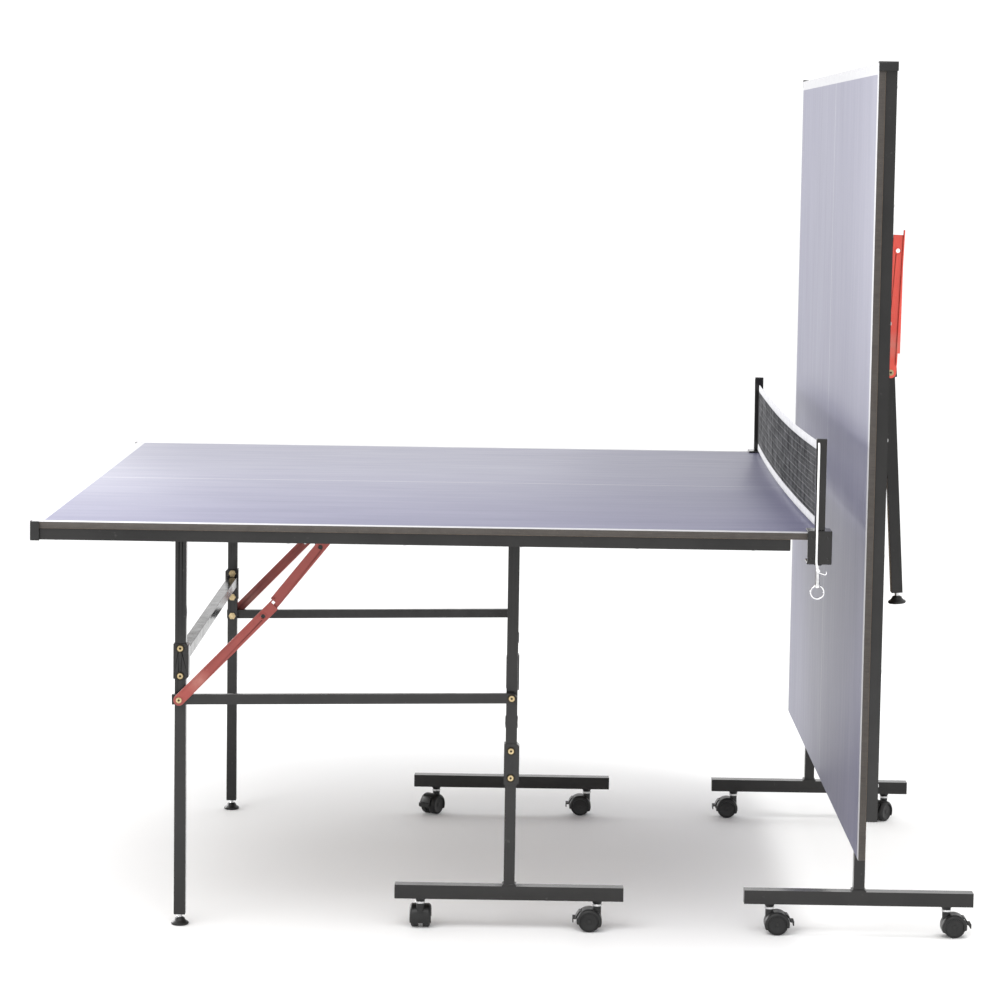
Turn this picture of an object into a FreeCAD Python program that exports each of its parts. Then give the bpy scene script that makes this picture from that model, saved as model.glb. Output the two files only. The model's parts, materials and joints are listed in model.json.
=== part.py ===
# Folding indoor ping pong table made of two rolling halves, with a clamped net.
# Millimetres, +Z up, floor at Z = 0, +X along the length, near side towards -Y.
# Half A stands in its play position.  Half B is folded upright for solo play.
# Each half is first laid out in its own half frame: the net end of the board is
# at x = 0, the outer end at x = -BOARD_L and the board is level.
import FreeCAD
import Part
import math
import os

# ---------------------------------------------------------------- board
BOARD_L = 1370.0
BOARD_W = 1525.0
BOARD_T = 12.0
TOP_Z = 760.0
BOARD_Z = TOP_Z - BOARD_T

# ---------------------------------------------------------------- apron frame
APRON_H = 20.0
APRON_T = 20.0
APRON_INSET = 4.0
APRON_STOP = 68.0
CROSS_XS = (-595.0, -897.0, -1175.0)
WALL = 1.5
CAP_PROUD = 3.0
CAP_RUN = 16.0

# ---------------------------------------------------------------- legs
TUBE = 20.0
LEG_Y = 520.0
TLEG_X = -542.0
PIVOT_TOP_Z = 732.0
PIVOT_RISE = 8.0
ELEG_X = -1138.0
PIVOT_LEG_Z = 722.0
LINK_T_Z = 428.0
LINK_E_Z = 416.8

T_SLEEVE_Z = (268.0, 343.0)
T_SLEEVE_SPLIT = 305.0
SLEEVE_BUMP = 5.0
T_BOLT_ZS = (281.0, 330.0)
T_BAR_Z = (370.0, 390.0)
E_SLEEVE_Z = (452.0, 516.0)
E_SLEEVE_SPLIT = 483.0
E_BOLT_ZS = (457.4, 507.5)
E_BAR_Z = (480.0, 500.0)
SLEEVE_GAIN = 2.5
SLEEVE_CHAMFER = 4.0
E_TUBE_LOW = 22.0

# ---------------------------------------------------------------- foot bars
FOOT_Z = (57.0, 82.0)
FOOT_W = 25.0
FOOT_HALF = 205.0
FOOT_WALL = 2.0
PLUG_T = 2.0
STEM_X = 160.0

# ---------------------------------------------------------------- folding gear
BOLT_R = 4.0
FIT = 0.05
HEAD_R = 5.2
SOCKET_R = 2.2
SOCKET_DEEP = 1.8
EAR_T = 3.0
EAR_GAP = 0.3
LINK_Y = (534.0, 546.0)
LINK_H = 18.0
SLOT_END = (-6.3, 2.0)
SLOT_R = 5.6
LINK_TAIL = 13.5
BRACE_W = 20.0
BRACE_EAR_Y = (543.2, 546.2)
BRACE_UP_Y = (546.5, 549.5)
BRACE_LOW_Y = (550.0, 553.0)
BRACE_LIP = 3.0
BRACE_LIP_T = 2.5
BRACE_X = -887.0
BRACE_Z = 696.6
KNEE_X = -988.1
KNEE_Z = 570.9
STOP_RUN = 28.0
LIP_START = 14.0
LIP_RUN = 37.0
TAIL_RUN = 20.0
TONGUE_RUN = 33.0
TONGUE_W = 9.0
EYE_R = 7.0

# Coupling ratios of the folding gear, per degree of board fold.
FOLD = 90.0
LEG_RATIO = -0.96
LINK_RATIO = 0.9808
LOW_RATIO = -0.5533
UP_RATIO = 0.5638

# ---------------------------------------------------------------- casters
WHEEL_R = 20.0
WHEEL_Y = (4.0, 17.4)
WHEEL_ROUND = 4.0
AXLE_R = 3.0
TRAIL = 14.0
HOOD_R = 23.0
HOOD_T = 1.6
HOOD_HALF_W = 19.5
HOOD_ROUND = 6.0
HOOD_EYE_R = 17.0
HOOD_BACK_Z = 10.5
HOOD_FRONT_Z = 15.0
FIN_HALF_W = 3.2
FIN_R = 18.5
STEM_R = 5.0
BOSS_R = 7.5
COLLAR_R = 6.0
PEDAL_R = (23.4, 25.6)
PEDAL_HALF_W = 11.0
TONGUE_GAIN = 2.0
PEDAL_TIP_X = 30.5
PEDAL_LIP = 6.0
PEDAL_HINGE_DEG = 50.0

# ---------------------------------------------------------------- feet
DISC_R = 16.0
DISC_H = 8.0
NECK_R = 7.0
NECK_H = 5.0
STUD_R = 4.0
STUD_TOP = 52.0

# ---------------------------------------------------------------- net
NET_X0 = -18.0
POST = 17.0
POST_Y = 754.4
POST_TOP = 922.0
CLAMP_X = (-39.0, 3.0)
PLATE_Y = (763.0, 767.0)
JAW_TOP_Z = (760.3, 764.0)
JAW_LOW_Z = (707.0, 711.0)
JAW_Y = 720.0
SCREW_Y = 741.0
SCREW_Z = (668.0, 742.0)
PAD_Z = (742.0, 747.7)
PAD_R = 9.0
RING_Z = 655.0
NET_Z = (764.5, 913.0)
NET_HALF = 743.0
NET_T = 2.0
NET_BOW = 11.0
CORD_R = 1.75
CORD_Y = -770.2

# World placement: half A is shifted so that the whole object is centred on X = 0,
# and the T-legs of half B stand B_GAP beyond the net end of half A.
B_GAP = 90.0
NET_X = (BOARD_L + CAP_PROUD - B_GAP - FOOT_HALF - PLUG_T) / 2.0

P_T = (TLEG_X, PIVOT_TOP_Z)
P_E = (ELEG_X, PIVOT_LEG_Z)
Q_T = (TLEG_X, LINK_T_Z)
Q_E = (ELEG_X, LINK_E_Z)
P_B = (BRACE_X, BRACE_Z)
KNEE = (KNEE_X, KNEE_Z)

# Turns that carry each body of a half from play to folded, first turn first.
FOLDED = {
    "frame": [],
    "top": [(P_T, FOLD)],
    "legs": [(P_E, FOLD * LEG_RATIO), (P_T, FOLD)],
    "links": [(Q_T, FOLD * LINK_RATIO)],
    "brace_low": [(Q_E, FOLD * LOW_RATIO), (P_E, FOLD * LEG_RATIO), (P_T, FOLD)],
    "brace_up": [(P_B, FOLD * UP_RATIO), (P_T, FOLD)],
}

X = FreeCAD.Vector(1, 0, 0)
Y = FreeCAD.Vector(0, 1, 0)
Z = FreeCAD.Vector(0, 0, 1)


def vec(x, y, z):
    return FreeCAD.Vector(x, y, z)


def box(xs, ys, zs):
    x0, x1 = sorted(xs)
    y0, y1 = sorted(ys)
    z0, z1 = sorted(zs)
    return Part.makeBox(x1 - x0, y1 - y0, z1 - z0, vec(x0, y0, z0))


def rod(start, end, radius):
    run = end - start
    return Part.makeCylinder(radius, run.Length, start, run)


def tube(xs, ys, zs, wall, along):
    """Rectangular tube, open at both ends along the axis 'x', 'y' or 'z'."""
    spans = [sorted(xs), sorted(ys), sorted(zs)]
    inner = []
    for name, span in zip("xyz", spans):
        grow = 1.0 if name == along else -wall
        inner.append((span[0] - grow, span[1] + grow))
    return box(*spans).cut(box(*inner))


def cross_pin(point, side, y_in, y_out, radius):
    """Cylinder along Y at (x, z) point, between |y| limits on one side."""
    x, z = point
    return rod(vec(x, side * y_in, z), vec(x, side * y_out, z), radius)


def bolt(point, side, y_in, y_out, head_r, head_t):
    """Pin between |y| limits with a round head at the outer end."""
    shank = cross_pin(point, side, y_in, y_out, BOLT_R - FIT)
    head = cross_pin(point, side, y_out, y_out + head_t, head_r)
    socket = cross_pin(point, side, y_out + head_t - SOCKET_DEEP, y_out + head_t + 1.0, SOCKET_R)
    return shank.fuse(head).cut(socket)


def nut(point, side, y_in, y_out, width):
    """Hexagonal nut on the inner side of a leg, with the bolt's bore in it."""
    radius = width / math.sqrt(3.0)
    corners = []
    for k in range(7):
        turn = math.radians(60.0 * k)
        corners.append(vec(point[0] + radius * math.cos(turn), side * y_in,
                           point[1] + radius * math.sin(turn)))
    prism = Part.Face(Part.makePolygon(corners)).extrude(vec(0, side * (y_out - y_in), 0))
    return prism.cut(cross_pin(point, side, y_in - 1.0, y_out + 1.0, BOLT_R - FIT))


# ================================================================ board group
def tabletop():
    return [box((-BOARD_L, 0), (-BOARD_W / 2, BOARD_W / 2), (BOARD_Z, TOP_Z))]


def ear(x_span, y_in, side, z_low, thick, hole):
    """Bracket ear: an upright plate with a bore, rounded around the pivot."""
    x, z = hole
    plate = box(x_span, (side * y_in, side * (y_in + thick)), (z, BOARD_Z))
    round_end = cross_pin(hole, side, y_in, y_in + thick, z - z_low)
    bore = cross_pin(hole, side, y_in - 1.0, y_in + thick + 1.0, BOLT_R)
    return plate.fuse(round_end).cut(bore)


def pivot_bracket(pivot, side, x_weld, reach):
    """Channel under the board: a top plate welded to a cross tube and two ears."""
    x = pivot[0]
    half = TUBE / 2
    y_out = LEG_Y + half + EAR_GAP
    y_in = LEG_Y - half - EAR_GAP - EAR_T
    plate = box((x_weld, x + reach), (side * y_in, side * (y_out + EAR_T)),
                (BOARD_Z - EAR_T, BOARD_Z))
    spans = (x - reach, x + reach)
    low = pivot[1] - reach
    outer = ear(spans, y_out, side, low, EAR_T, pivot)
    inner = ear(spans, y_in, side, low, EAR_T, pivot)
    return plate.fuse([outer, inner]).removeSplitter()


def brace_bracket(side):
    """Ear below a cross tube that carries the upper brace, with its rivet."""
    y_in, y_out = BRACE_EAR_Y
    half = BRACE_W / 2
    plate = box((BRACE_X - half, BRACE_X + half), (side * y_in, side * y_out),
                (BRACE_Z, BOARD_Z - APRON_H))
    round_end = cross_pin(P_B, side, y_in, y_out, half)
    rivet = cross_pin(P_B, side, y_in, BRACE_UP_Y[1] + 0.2, BOLT_R - FIT)
    head = cross_pin(P_B, side, y_in - 2.5, y_in, HEAD_R)
    return plate.fuse([round_end, rivet, head])


def apron_frame():
    y_out = BOARD_W / 2 - APRON_INSET
    y_in = y_out - APRON_T
    x_out = -BOARD_L + APRON_INSET
    zs = (BOARD_Z - APRON_H, BOARD_Z)
    solids = []
    for side in (-1, 1):
        solids.append(tube((x_out, -APRON_STOP), (side * y_in, side * y_out), zs, WALL, "x"))
    solids.append(tube((x_out, x_out + APRON_T), (-y_in, y_in), zs, WALL, "y"))
    for x in CROSS_XS:
        solids.append(tube((x, x + APRON_T), (-y_in, y_in), zs, WALL, "y"))
    for side in (-1, 1):
        solids.append(pivot_bracket(P_T, side, CROSS_XS[0] + APRON_T, 12.0))
        solids.append(pivot_bracket(P_E, side, CROSS_XS[2] + APRON_T, 12.0))
        solids.append(brace_bracket(side))
    return solids


def corner_caps():
    """Moulded corner caps that wrap the two outer corners of board and apron."""
    x0 = -BOARD_L - CAP_PROUD
    solids = []
    for side in (-1, 1):
        y0 = side * (BOARD_W / 2 + CAP_PROUD)
        y1 = side * (BOARD_W / 2 + CAP_PROUD - CAP_RUN)
        block = box((x0, x0 + CAP_RUN), (y0, y1), (BOARD_Z - APRON_H - 1.0, TOP_Z))
        corner = [e for e in block.Edges if abs(e.Vertexes[0].X - x0) < 0.01
                  and abs(e.Vertexes[1].X - x0) < 0.01
                  and abs(e.Vertexes[0].Y - y0) < 0.01 and abs(e.Vertexes[1].Y - y0) < 0.01]
        block = block.makeFillet(4.0, corner)
        board = box((-BOARD_L, 0), (-BOARD_W / 2, BOARD_W / 2), (BOARD_Z, TOP_Z + 1.0))
        rail_y = BOARD_W / 2 - APRON_INSET
        rails = box((-BOARD_L + APRON_INSET, 0), (-rail_y, rail_y), (0, BOARD_Z))
        solids.append(block.cut(board).cut(rails))
    return solids


# ================================================================ end legs
def leg_span(side, grow=0.0):
    return (side * (LEG_Y - TUBE / 2 - grow), side * (LEG_Y + TUBE / 2 + grow))


def bored(shape, holes, side):
    """Cut bolt bores along Y through one side's leg."""
    for point in holes:
        shape = shape.cut(cross_pin(point, side, LEG_Y - 20.0, LEG_Y + 20.0, BOLT_R))
    return shape


def leg_sleeve(x, side, z_span):
    """Joint sleeve round a leg, with a chamfered bulge on one face of the tube."""
    facing = -side
    low = x - facing * (TUBE / 2 + SLEEVE_GAIN)
    high = x + facing * (TUBE / 2 + SLEEVE_BUMP)
    outer = box((low, high), leg_span(side, SLEEVE_GAIN), z_span)
    rim = [e for e in outer.Edges
           if all(abs(v.X - high) < 0.01 for v in e.Vertexes)
           and abs(e.Vertexes[0].Z - e.Vertexes[1].Z) < 0.01]
    outer = outer.makeChamfer(SLEEVE_CHAMFER, rim)
    core = box((x - TUBE / 2, x + TUBE / 2), leg_span(side), (z_span[0] - 1.0, z_span[1] + 1.0))
    return outer.cut(core)


def end_legs():
    xs = (ELEG_X - TUBE / 2, ELEG_X + TUBE / 2)
    sleeve_bores = [(ELEG_X, z) for z in E_BOLT_ZS]
    solids = []
    for side in (-1, 1):
        upper = tube(xs, leg_span(side), (E_SLEEVE_SPLIT, PIVOT_LEG_Z + PIVOT_RISE), WALL, "z")
        solids.append(bored(upper, [P_E] + sleeve_bores, side))
        solids.append(bored(leg_sleeve(ELEG_X, side, E_SLEEVE_Z), sleeve_bores, side))
    inner = LEG_Y - TUBE / 2 - SLEEVE_GAIN
    solids.append(tube(xs, (-inner, inner), E_BAR_Z, WALL, "y"))
    return solids


def end_leg_tubes():
    """Lower leg tubes with the plastic plug that holds the levelling stud."""
    xs = (ELEG_X - TUBE / 2, ELEG_X + TUBE / 2)
    holes = [Q_E, (ELEG_X, E_BOLT_ZS[0])]
    solids = []
    for side in (-1, 1):
        lower = tube(xs, leg_span(side), (E_TUBE_LOW, E_SLEEVE_SPLIT), WALL, "z")
        solids.append(bored(lower, holes, side))
        inner = TUBE / 2 - WALL
        flange = box(xs, leg_span(side), (E_TUBE_LOW - 2.0, E_TUBE_LOW))
        core = box((ELEG_X - inner, ELEG_X + inner),
                   (side * (LEG_Y - inner), side * (LEG_Y + inner)), (E_TUBE_LOW, 62.0))
        bore = rod(vec(ELEG_X, side * LEG_Y, 0), vec(ELEG_X, side * LEG_Y, 70.0), STUD_R + FIT)
        solids.append(flange.fuse(core).cut(bore))
    return solids


def end_leg_bolts():
    """Pivot, sleeve and link bolts of the end legs, with their nuts."""
    y_in = LEG_Y - TUBE / 2
    y_out = LEG_Y + TUBE / 2
    solids = []
    for side in (-1, 1):
        pivot_in = y_in - EAR_GAP - EAR_T
        solids.append(bolt(P_E, side, pivot_in - 5.0, y_out + EAR_GAP + EAR_T + 0.2, HEAD_R, 3.0))
        solids.append(nut(P_E, side, pivot_in - 4.6, pivot_in - 0.3, 13.0))
        for z in E_BOLT_ZS:
            face = SLEEVE_GAIN
            solids.append(bolt((ELEG_X, z), side, y_in - face - 5.0, y_out + face, HEAD_R, 2.6))
            solids.append(nut((ELEG_X, z), side, y_in - face - 4.3, y_in - face, 13.0))
        link_pin = bolt(Q_E, side, y_in - 5.0, BRACE_LOW_Y[1] + 0.2, HEAD_R, 2.2)
        spacer = cross_pin(Q_E, side, y_out, LINK_Y[0] - 0.4, 7.5)
        washer = cross_pin(Q_E, side, LINK_Y[1] + 0.4, BRACE_LOW_Y[0] - 0.3, 7.5)
        solids.append(link_pin.fuse([spacer, washer]))
        solids.append(nut(Q_E, side, y_in - 4.3, y_in, 13.0))
    return solids


def levelling_foot(side):
    base = vec(ELEG_X, side * LEG_Y, 0)
    lip = 3.0
    rim = Part.makeCylinder(DISC_R, DISC_H - lip, base, Z)
    cone = Part.makeCone(DISC_R, DISC_R - 4.0, lip, base + Z * (DISC_H - lip), Z)
    neck = Part.makeCylinder(NECK_R, NECK_H, base + Z * DISC_H, Z)
    stud = Part.makeCylinder(STUD_R - FIT, STUD_TOP - DISC_H, base + Z * DISC_H, Z)
    return [rim.fuse([cone, neck, stud])]


# ================================================================ wheel frame
def wheel_frame():
    xs = (TLEG_X - TUBE / 2, TLEG_X + TUBE / 2)
    sleeve_bores = [(TLEG_X, z) for z in T_BOLT_ZS]
    solids = []
    for side in (-1, 1):
        upper = tube(xs, leg_span(side), (T_SLEEVE_SPLIT, PIVOT_TOP_Z + PIVOT_RISE), WALL, "z")
        solids.append(bored(upper, [P_T, Q_T] + sleeve_bores, side))
        solids.append(bored(leg_sleeve(TLEG_X, side, T_SLEEVE_Z), sleeve_bores, side))
    inner = LEG_Y - TUBE / 2
    solids.append(tube(xs, (-inner, inner), T_BAR_Z, WALL, "y"))
    return solids


def wheel_feet():
    """Lower T-leg tubes, foot bars with end plugs, and a weld collar at each tee."""
    xs = (TLEG_X - TUBE / 2, TLEG_X + TUBE / 2)
    half_w = FOOT_W / 2
    solids = []
    for side in (-1, 1):
        ys = (side * (LEG_Y - half_w), side * (LEG_Y + half_w))
        bar = tube((TLEG_X - FOOT_HALF, TLEG_X + FOOT_HALF), ys, FOOT_Z, FOOT_WALL, "x")
        for along in (-STEM_X, STEM_X):
            base = vec(TLEG_X + along, side * LEG_Y, FOOT_Z[0] - 1.0)
            bar = bar.cut(rod(base, base + Z * 4.0, STEM_R + FIT))
        solids.append(bar)
        lower = tube(xs, leg_span(side), (FOOT_Z[1], T_SLEEVE_SPLIT), WALL, "z")
        solids.append(bored(lower, [(TLEG_X, T_BOLT_ZS[0])], side))
        collar = box((xs[0] - 3.0, xs[1] + 3.0), ys, (FOOT_Z[1], FOOT_Z[1] + 3.0))
        core = box(xs, leg_span(side), (FOOT_Z[1] - 1.0, FOOT_Z[1] + 10.0))
        solids.append(collar.cut(core))
        for end in (-1, 1):
            face = TLEG_X + end * FOOT_HALF
            cap = box((face, face + end * PLUG_T), ys, FOOT_Z)
            inset = FOOT_WALL
            core = box((face, face - end * 12.0),
                       (side * (LEG_Y - half_w + inset), side * (LEG_Y + half_w - inset)),
                       (FOOT_Z[0] + inset, FOOT_Z[1] - inset))
            solids.append(cap.fuse(core))
    return solids


def wheel_frame_bolts():
    y_in = LEG_Y - TUBE / 2
    y_out = LEG_Y + TUBE / 2
    solids = []
    for side in (-1, 1):
        pivot_in = y_in - EAR_GAP - EAR_T
        solids.append(bolt(P_T, side, pivot_in - 5.0, y_out + EAR_GAP + EAR_T + 0.2, HEAD_R, 3.0))
        solids.append(nut(P_T, side, pivot_in - 4.6, pivot_in - 0.3, 13.0))
        link_pin = bolt(Q_T, side, y_in - 5.0, LINK_Y[1] + 0.3, HEAD_R, 3.0)
        spacer = cross_pin(Q_T, side, y_out, LINK_Y[0] - 0.4, 7.5)
        solids.append(link_pin.fuse(spacer))
        solids.append(nut(Q_T, side, y_in - 4.3, y_in, 13.0))
        for z in T_BOLT_ZS:
            face = SLEEVE_GAIN
            solids.append(bolt((TLEG_X, z), side, y_in - face - 5.0, y_out + face, HEAD_R, 2.6))
            solids.append(nut((TLEG_X, z), side, y_in - face - 4.3, y_in - face, 13.0))
    return solids


# ================================================================ links and braces
def side_links():
    """Long links from T-leg to end leg, with a slot at the end-leg pin."""
    run = math.hypot(Q_T[0] - Q_E[0], Q_T[1] - Q_E[1])
    dip = math.degrees(math.atan2(Q_T[1] - Q_E[1], Q_T[0] - Q_E[0]))
    solids = []
    for side in (-1, 1):
        ys = (side * LINK_Y[0], side * LINK_Y[1])
        tail = -run - LINK_TAIL
        bar = box((tail, 0), ys, (-LINK_H / 2, LINK_H / 2))
        bar = bar.fuse(cross_pin((0, 0), side, LINK_Y[0], LINK_Y[1], LINK_H / 2))
        core = box((-run + 30.0, -30.0), (side * (LINK_Y[0] + WALL), side * (LINK_Y[1] - WALL)),
                   (-LINK_H / 2 + WALL, LINK_H / 2 - WALL))
        bar = bar.cut(core)
        bar = bar.cut(cross_pin((0, 0), side, LINK_Y[0] - 1, LINK_Y[1] + 1, BOLT_R))
        slot = flat_bar((0, 0), SLOT_END, (LINK_Y[0] - 1, LINK_Y[1] + 1), side, SLOT_R)
        slot.translate(vec(-run, 0, 0))
        bar = bar.cut(slot)
        bar.rotate(vec(0, 0, 0), Y, -dip)
        bar.translate(vec(Q_T[0], 0, Q_T[1]))
        solids.append(bar)
    return solids


def flat_bar(start, end, y_span, side, half):
    """Flat bar with round ends between two (x, z) points."""
    dx = end[0] - start[0]
    dz = end[1] - start[1]
    run = math.hypot(dx, dz)
    bar = box((0, run), (side * y_span[0], side * y_span[1]), (-half, half))
    ends = [cross_pin((x, 0), side, y_span[0], y_span[1], half) for x in (0, run)]
    bar = bar.fuse(ends)
    bar.rotate(vec(0, 0, 0), Y, -math.degrees(math.atan2(dz, dx)))
    bar.translate(vec(start[0], 0, start[1]))
    return bar


def along_link(start, end, side, x_span, y_span, z_span):
    """Box laid along the line from start to end; x is measured from start."""
    solid = box(x_span, (side * y_span[0], side * y_span[1]), z_span)
    tilt = math.degrees(math.atan2(end[1] - start[1], end[0] - start[0]))
    solid.rotate(vec(0, 0, 0), Y, -tilt)
    solid.translate(vec(start[0], 0, start[1]))
    return solid


def brace_lower():
    """Lower brace link: it runs on past the knee eyelet and has a bent lip along one edge."""
    run = math.hypot(KNEE[0] - Q_E[0], KNEE[1] - Q_E[1])
    half = BRACE_W / 2
    solids = []
    for side in (-1, 1):
        bar = flat_bar(Q_E, KNEE, BRACE_LOW_Y, side, half)
        stop = along_link(Q_E, KNEE, side, (run, run + STOP_RUN), BRACE_LOW_Y, (-half, half))
        lip = along_link(Q_E, KNEE, side, (LIP_START, run + LIP_RUN),
                         (BRACE_LOW_Y[0], BRACE_LOW_Y[1] + BRACE_LIP), (half - BRACE_LIP_T, half))
        bar = bar.fuse([stop, lip]).removeSplitter()
        for point in (Q_E, KNEE):
            bar = bar.cut(cross_pin(point, side, BRACE_LOW_Y[0] - 1, BRACE_LOW_Y[1] + 1, BOLT_R))
        solids.append(bar)
    return solids


def brace_upper():
    """Upper brace link: its last stretch is a narrow tongue beside the stop."""
    run = math.hypot(P_B[0] - KNEE[0], P_B[1] - KNEE[1])
    half = BRACE_W / 2
    solids = []
    for side in (-1, 1):
        bar = flat_bar(P_B, KNEE, BRACE_UP_Y, side, half)
        tail = along_link(P_B, KNEE, side, (-TAIL_RUN, 0), BRACE_UP_Y, (-half, half))
        bar = bar.fuse(tail).removeSplitter()
        relief = along_link(P_B, KNEE, side, (run - TONGUE_RUN, run + half + 1.0),
                            (BRACE_UP_Y[0] - 1, BRACE_UP_Y[1] + 1), (-half - 1.0, half - TONGUE_W))
        relief = relief.cut(cross_pin(KNEE, side, BRACE_UP_Y[0] - 2, BRACE_UP_Y[1] + 2, EYE_R))
        bar = bar.cut(relief)
        for point in (P_B, KNEE):
            bar = bar.cut(cross_pin(point, side, BRACE_UP_Y[0] - 1, BRACE_UP_Y[1] + 1, BOLT_R))
        solids.append(bar)
    return solids


# ================================================================ casters
def round_rims(solid, radius, inner=None):
    """Fillets the circular rims of a wheel or hood; inner gives the radius used near the middle."""
    rims = [e for e in solid.Edges if e.Closed and hasattr(e.Curve, "Radius")]
    if inner is None:
        return solid.makeFillet(radius, rims)
    far = max(abs(e.CenterOfMass.y) for e in rims)
    outer_rims = [e for e in rims if abs(e.CenterOfMass.y) > far - 0.01]
    solid = solid.makeFillet(radius, outer_rims)
    near = [e for e in solid.Edges if e.Closed and hasattr(e.Curve, "Radius")
            and abs(abs(e.CenterOfMass.y) - WHEEL_Y[0]) < 0.01]
    return solid.makeFillet(inner, near)


def caster_housing():
    """Twin-wheel caster hood with rounded flanks, central fin, axle and swivel stem."""
    hub = vec(TRAIL, 0, WHEEL_R)
    side_y = HOOD_HALF_W - 1.3
    outer = round_rims(rod(hub - Y * HOOD_HALF_W, hub + Y * HOOD_HALF_W, HOOD_R), HOOD_ROUND)
    inner = round_rims(rod(hub - Y * side_y, hub + Y * side_y, HOOD_R - HOOD_T), HOOD_ROUND - 1.0)
    hood = outer.cut(inner).cut(rod(hub - Y * 60, hub + Y * 60, HOOD_EYE_R))
    back = box((TRAIL - 60, TRAIL), (-60, 60), (HOOD_BACK_Z, 100))
    front = box((TRAIL, TRAIL + 60), (-60, 60), (HOOD_FRONT_Z, 100))
    hood = hood.common(back.fuse(front))
    window_y = PEDAL_HALF_W + TONGUE_GAIN + 0.8
    window = box((TRAIL + 5.0, TRAIL + 60), (-window_y, window_y),
                 (0, WHEEL_R + HOOD_R * math.sin(math.radians(PEDAL_HINGE_DEG + 3.0))))
    hood = hood.cut(window)
    fin = rod(hub - Y * FIN_HALF_W, hub + Y * FIN_HALF_W, FIN_R)
    fin = fin.cut(box((-60, 60), (-60, 60), (-10, WHEEL_R - 8.0)))
    web = box((TRAIL - 12.0, TRAIL + 4.0), (-FIN_HALF_W, FIN_HALF_W), (WHEEL_R, WHEEL_R + HOOD_R - 1.0))
    axle = rod(hub - Y * (WHEEL_Y[1] - 0.5), hub + Y * (WHEEL_Y[1] - 0.5), AXLE_R - FIT)
    boss = rod(vec(0, 0, WHEEL_R + 8.0), vec(0, 0, FOOT_Z[0] - 4.0), BOSS_R)
    boss = boss.cut(rod(hub - Y * 60, hub + Y * 60, HOOD_R - 0.5))
    collar = rod(vec(0, 0, FOOT_Z[0] - 5.0), vec(0, 0, FOOT_Z[0] - 0.3), COLLAR_R)
    stem = rod(vec(0, 0, FOOT_Z[0] - 1.0), vec(0, 0, FOOT_Z[0] + 14.0), STEM_R)
    return hood.fuse([fin, web, axle, boss, collar, stem])


def caster_wheels():
    hub = vec(TRAIL, 0, WHEEL_R)
    solids = []
    for side in (-1, 1):
        wheel = rod(hub + Y * (side * WHEEL_Y[0]), hub + Y * (side * WHEEL_Y[1]), WHEEL_R)
        wheel = round_rims(wheel, WHEEL_ROUND, 1.0)
        solids.append(wheel.cut(rod(hub - Y * 60, hub + Y * 60, AXLE_R)))
    return solids


def caster_brake():
    """Brake shoe that follows the hood, with a hooked toe lip at its lower end."""
    hub = vec(TRAIL, 0, WHEEL_R)
    shoe = rod(hub - Y * PEDAL_HALF_W, hub + Y * PEDAL_HALF_W, PEDAL_R[1])
    shoe = shoe.cut(rod(hub - Y * 60, hub + Y * 60, PEDAL_R[0]))
    low = WHEEL_R + 4.0
    high = WHEEL_R + PEDAL_R[0] * math.sin(math.radians(PEDAL_HINGE_DEG))
    shoe = shoe.common(box((TRAIL, TRAIL + 60), (-60, 60), (low, high)))
    ys = (-PEDAL_HALF_W - TONGUE_GAIN, PEDAL_HALF_W + TONGUE_GAIN)
    tongue = box((TRAIL + PEDAL_R[0] + 0.5, TRAIL + PEDAL_TIP_X), ys, (low, low + 2.2))
    lip = box((TRAIL + PEDAL_TIP_X - 2.0, TRAIL + PEDAL_TIP_X), ys, (low - PEDAL_LIP, low + 2.2))
    return shoe.fuse([tongue, lip]).removeSplitter()


# Casters: half, side, end, stem position along the foot bar, trail direction.
CASTERS = (
    ("a", "near", "left", 90.0),
    ("a", "near", "right", 180.0),
    ("a", "far", "left", -125.0),
    ("a", "far", "right", 180.0),
    ("b", "near", "left", 0.0),
    ("b", "near", "right", 0.0),
    ("b", "far", "left", 180.0),
    ("b", "far", "right", -130.0),
)
FRAME_X = {"a": NET_X + TLEG_X, "b": NET_X + B_GAP}


def caster_stem(half, side, end):
    y = -LEG_Y if side == "near" else LEG_Y
    x = FRAME_X[half] + (-STEM_X if end == "left" else STEM_X)
    return (x, y)


# ================================================================ net set
def net_clamp(side):
    top = box(CLAMP_X, (side * JAW_Y, side * PLATE_Y[0]), JAW_TOP_Z)
    plate = box(CLAMP_X, (side * PLATE_Y[0], side * PLATE_Y[1]), (JAW_LOW_Z[0], JAW_TOP_Z[1]))
    low = box(CLAMP_X, (side * JAW_Y, side * PLATE_Y[0]), JAW_LOW_Z)
    bore = rod(vec(NET_X0, side * SCREW_Y, 700.0), vec(NET_X0, side * SCREW_Y, 720.0), BOLT_R)
    boss = rod(vec(NET_X0, side * SCREW_Y, JAW_LOW_Z[0] - 5.0),
               vec(NET_X0, side * SCREW_Y, JAW_LOW_Z[0]), 7.0)
    return [top, plate, low.cut(bore), boss.cut(bore)]


def net_posts():
    half = POST / 2
    solids = []
    for side in (-1, 1):
        post = tube((NET_X0 - half, NET_X0 + half), (side * (POST_Y - half), side * (POST_Y + half)),
                    (JAW_TOP_Z[1], POST_TOP - 3.0), WALL, "z")
        lid = box((NET_X0 - half, NET_X0 + half), (side * (POST_Y - half), side * (POST_Y + half)),
                  (POST_TOP - 3.0, POST_TOP))
        core = box((NET_X0 - half + WALL, NET_X0 + half - WALL),
                   (side * (POST_Y - half + WALL), side * (POST_Y + half - WALL)),
                   (POST_TOP - 18.0, POST_TOP - 3.0))
        solids.append(post)
        solids.append(lid.fuse(core))
    return solids


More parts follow.
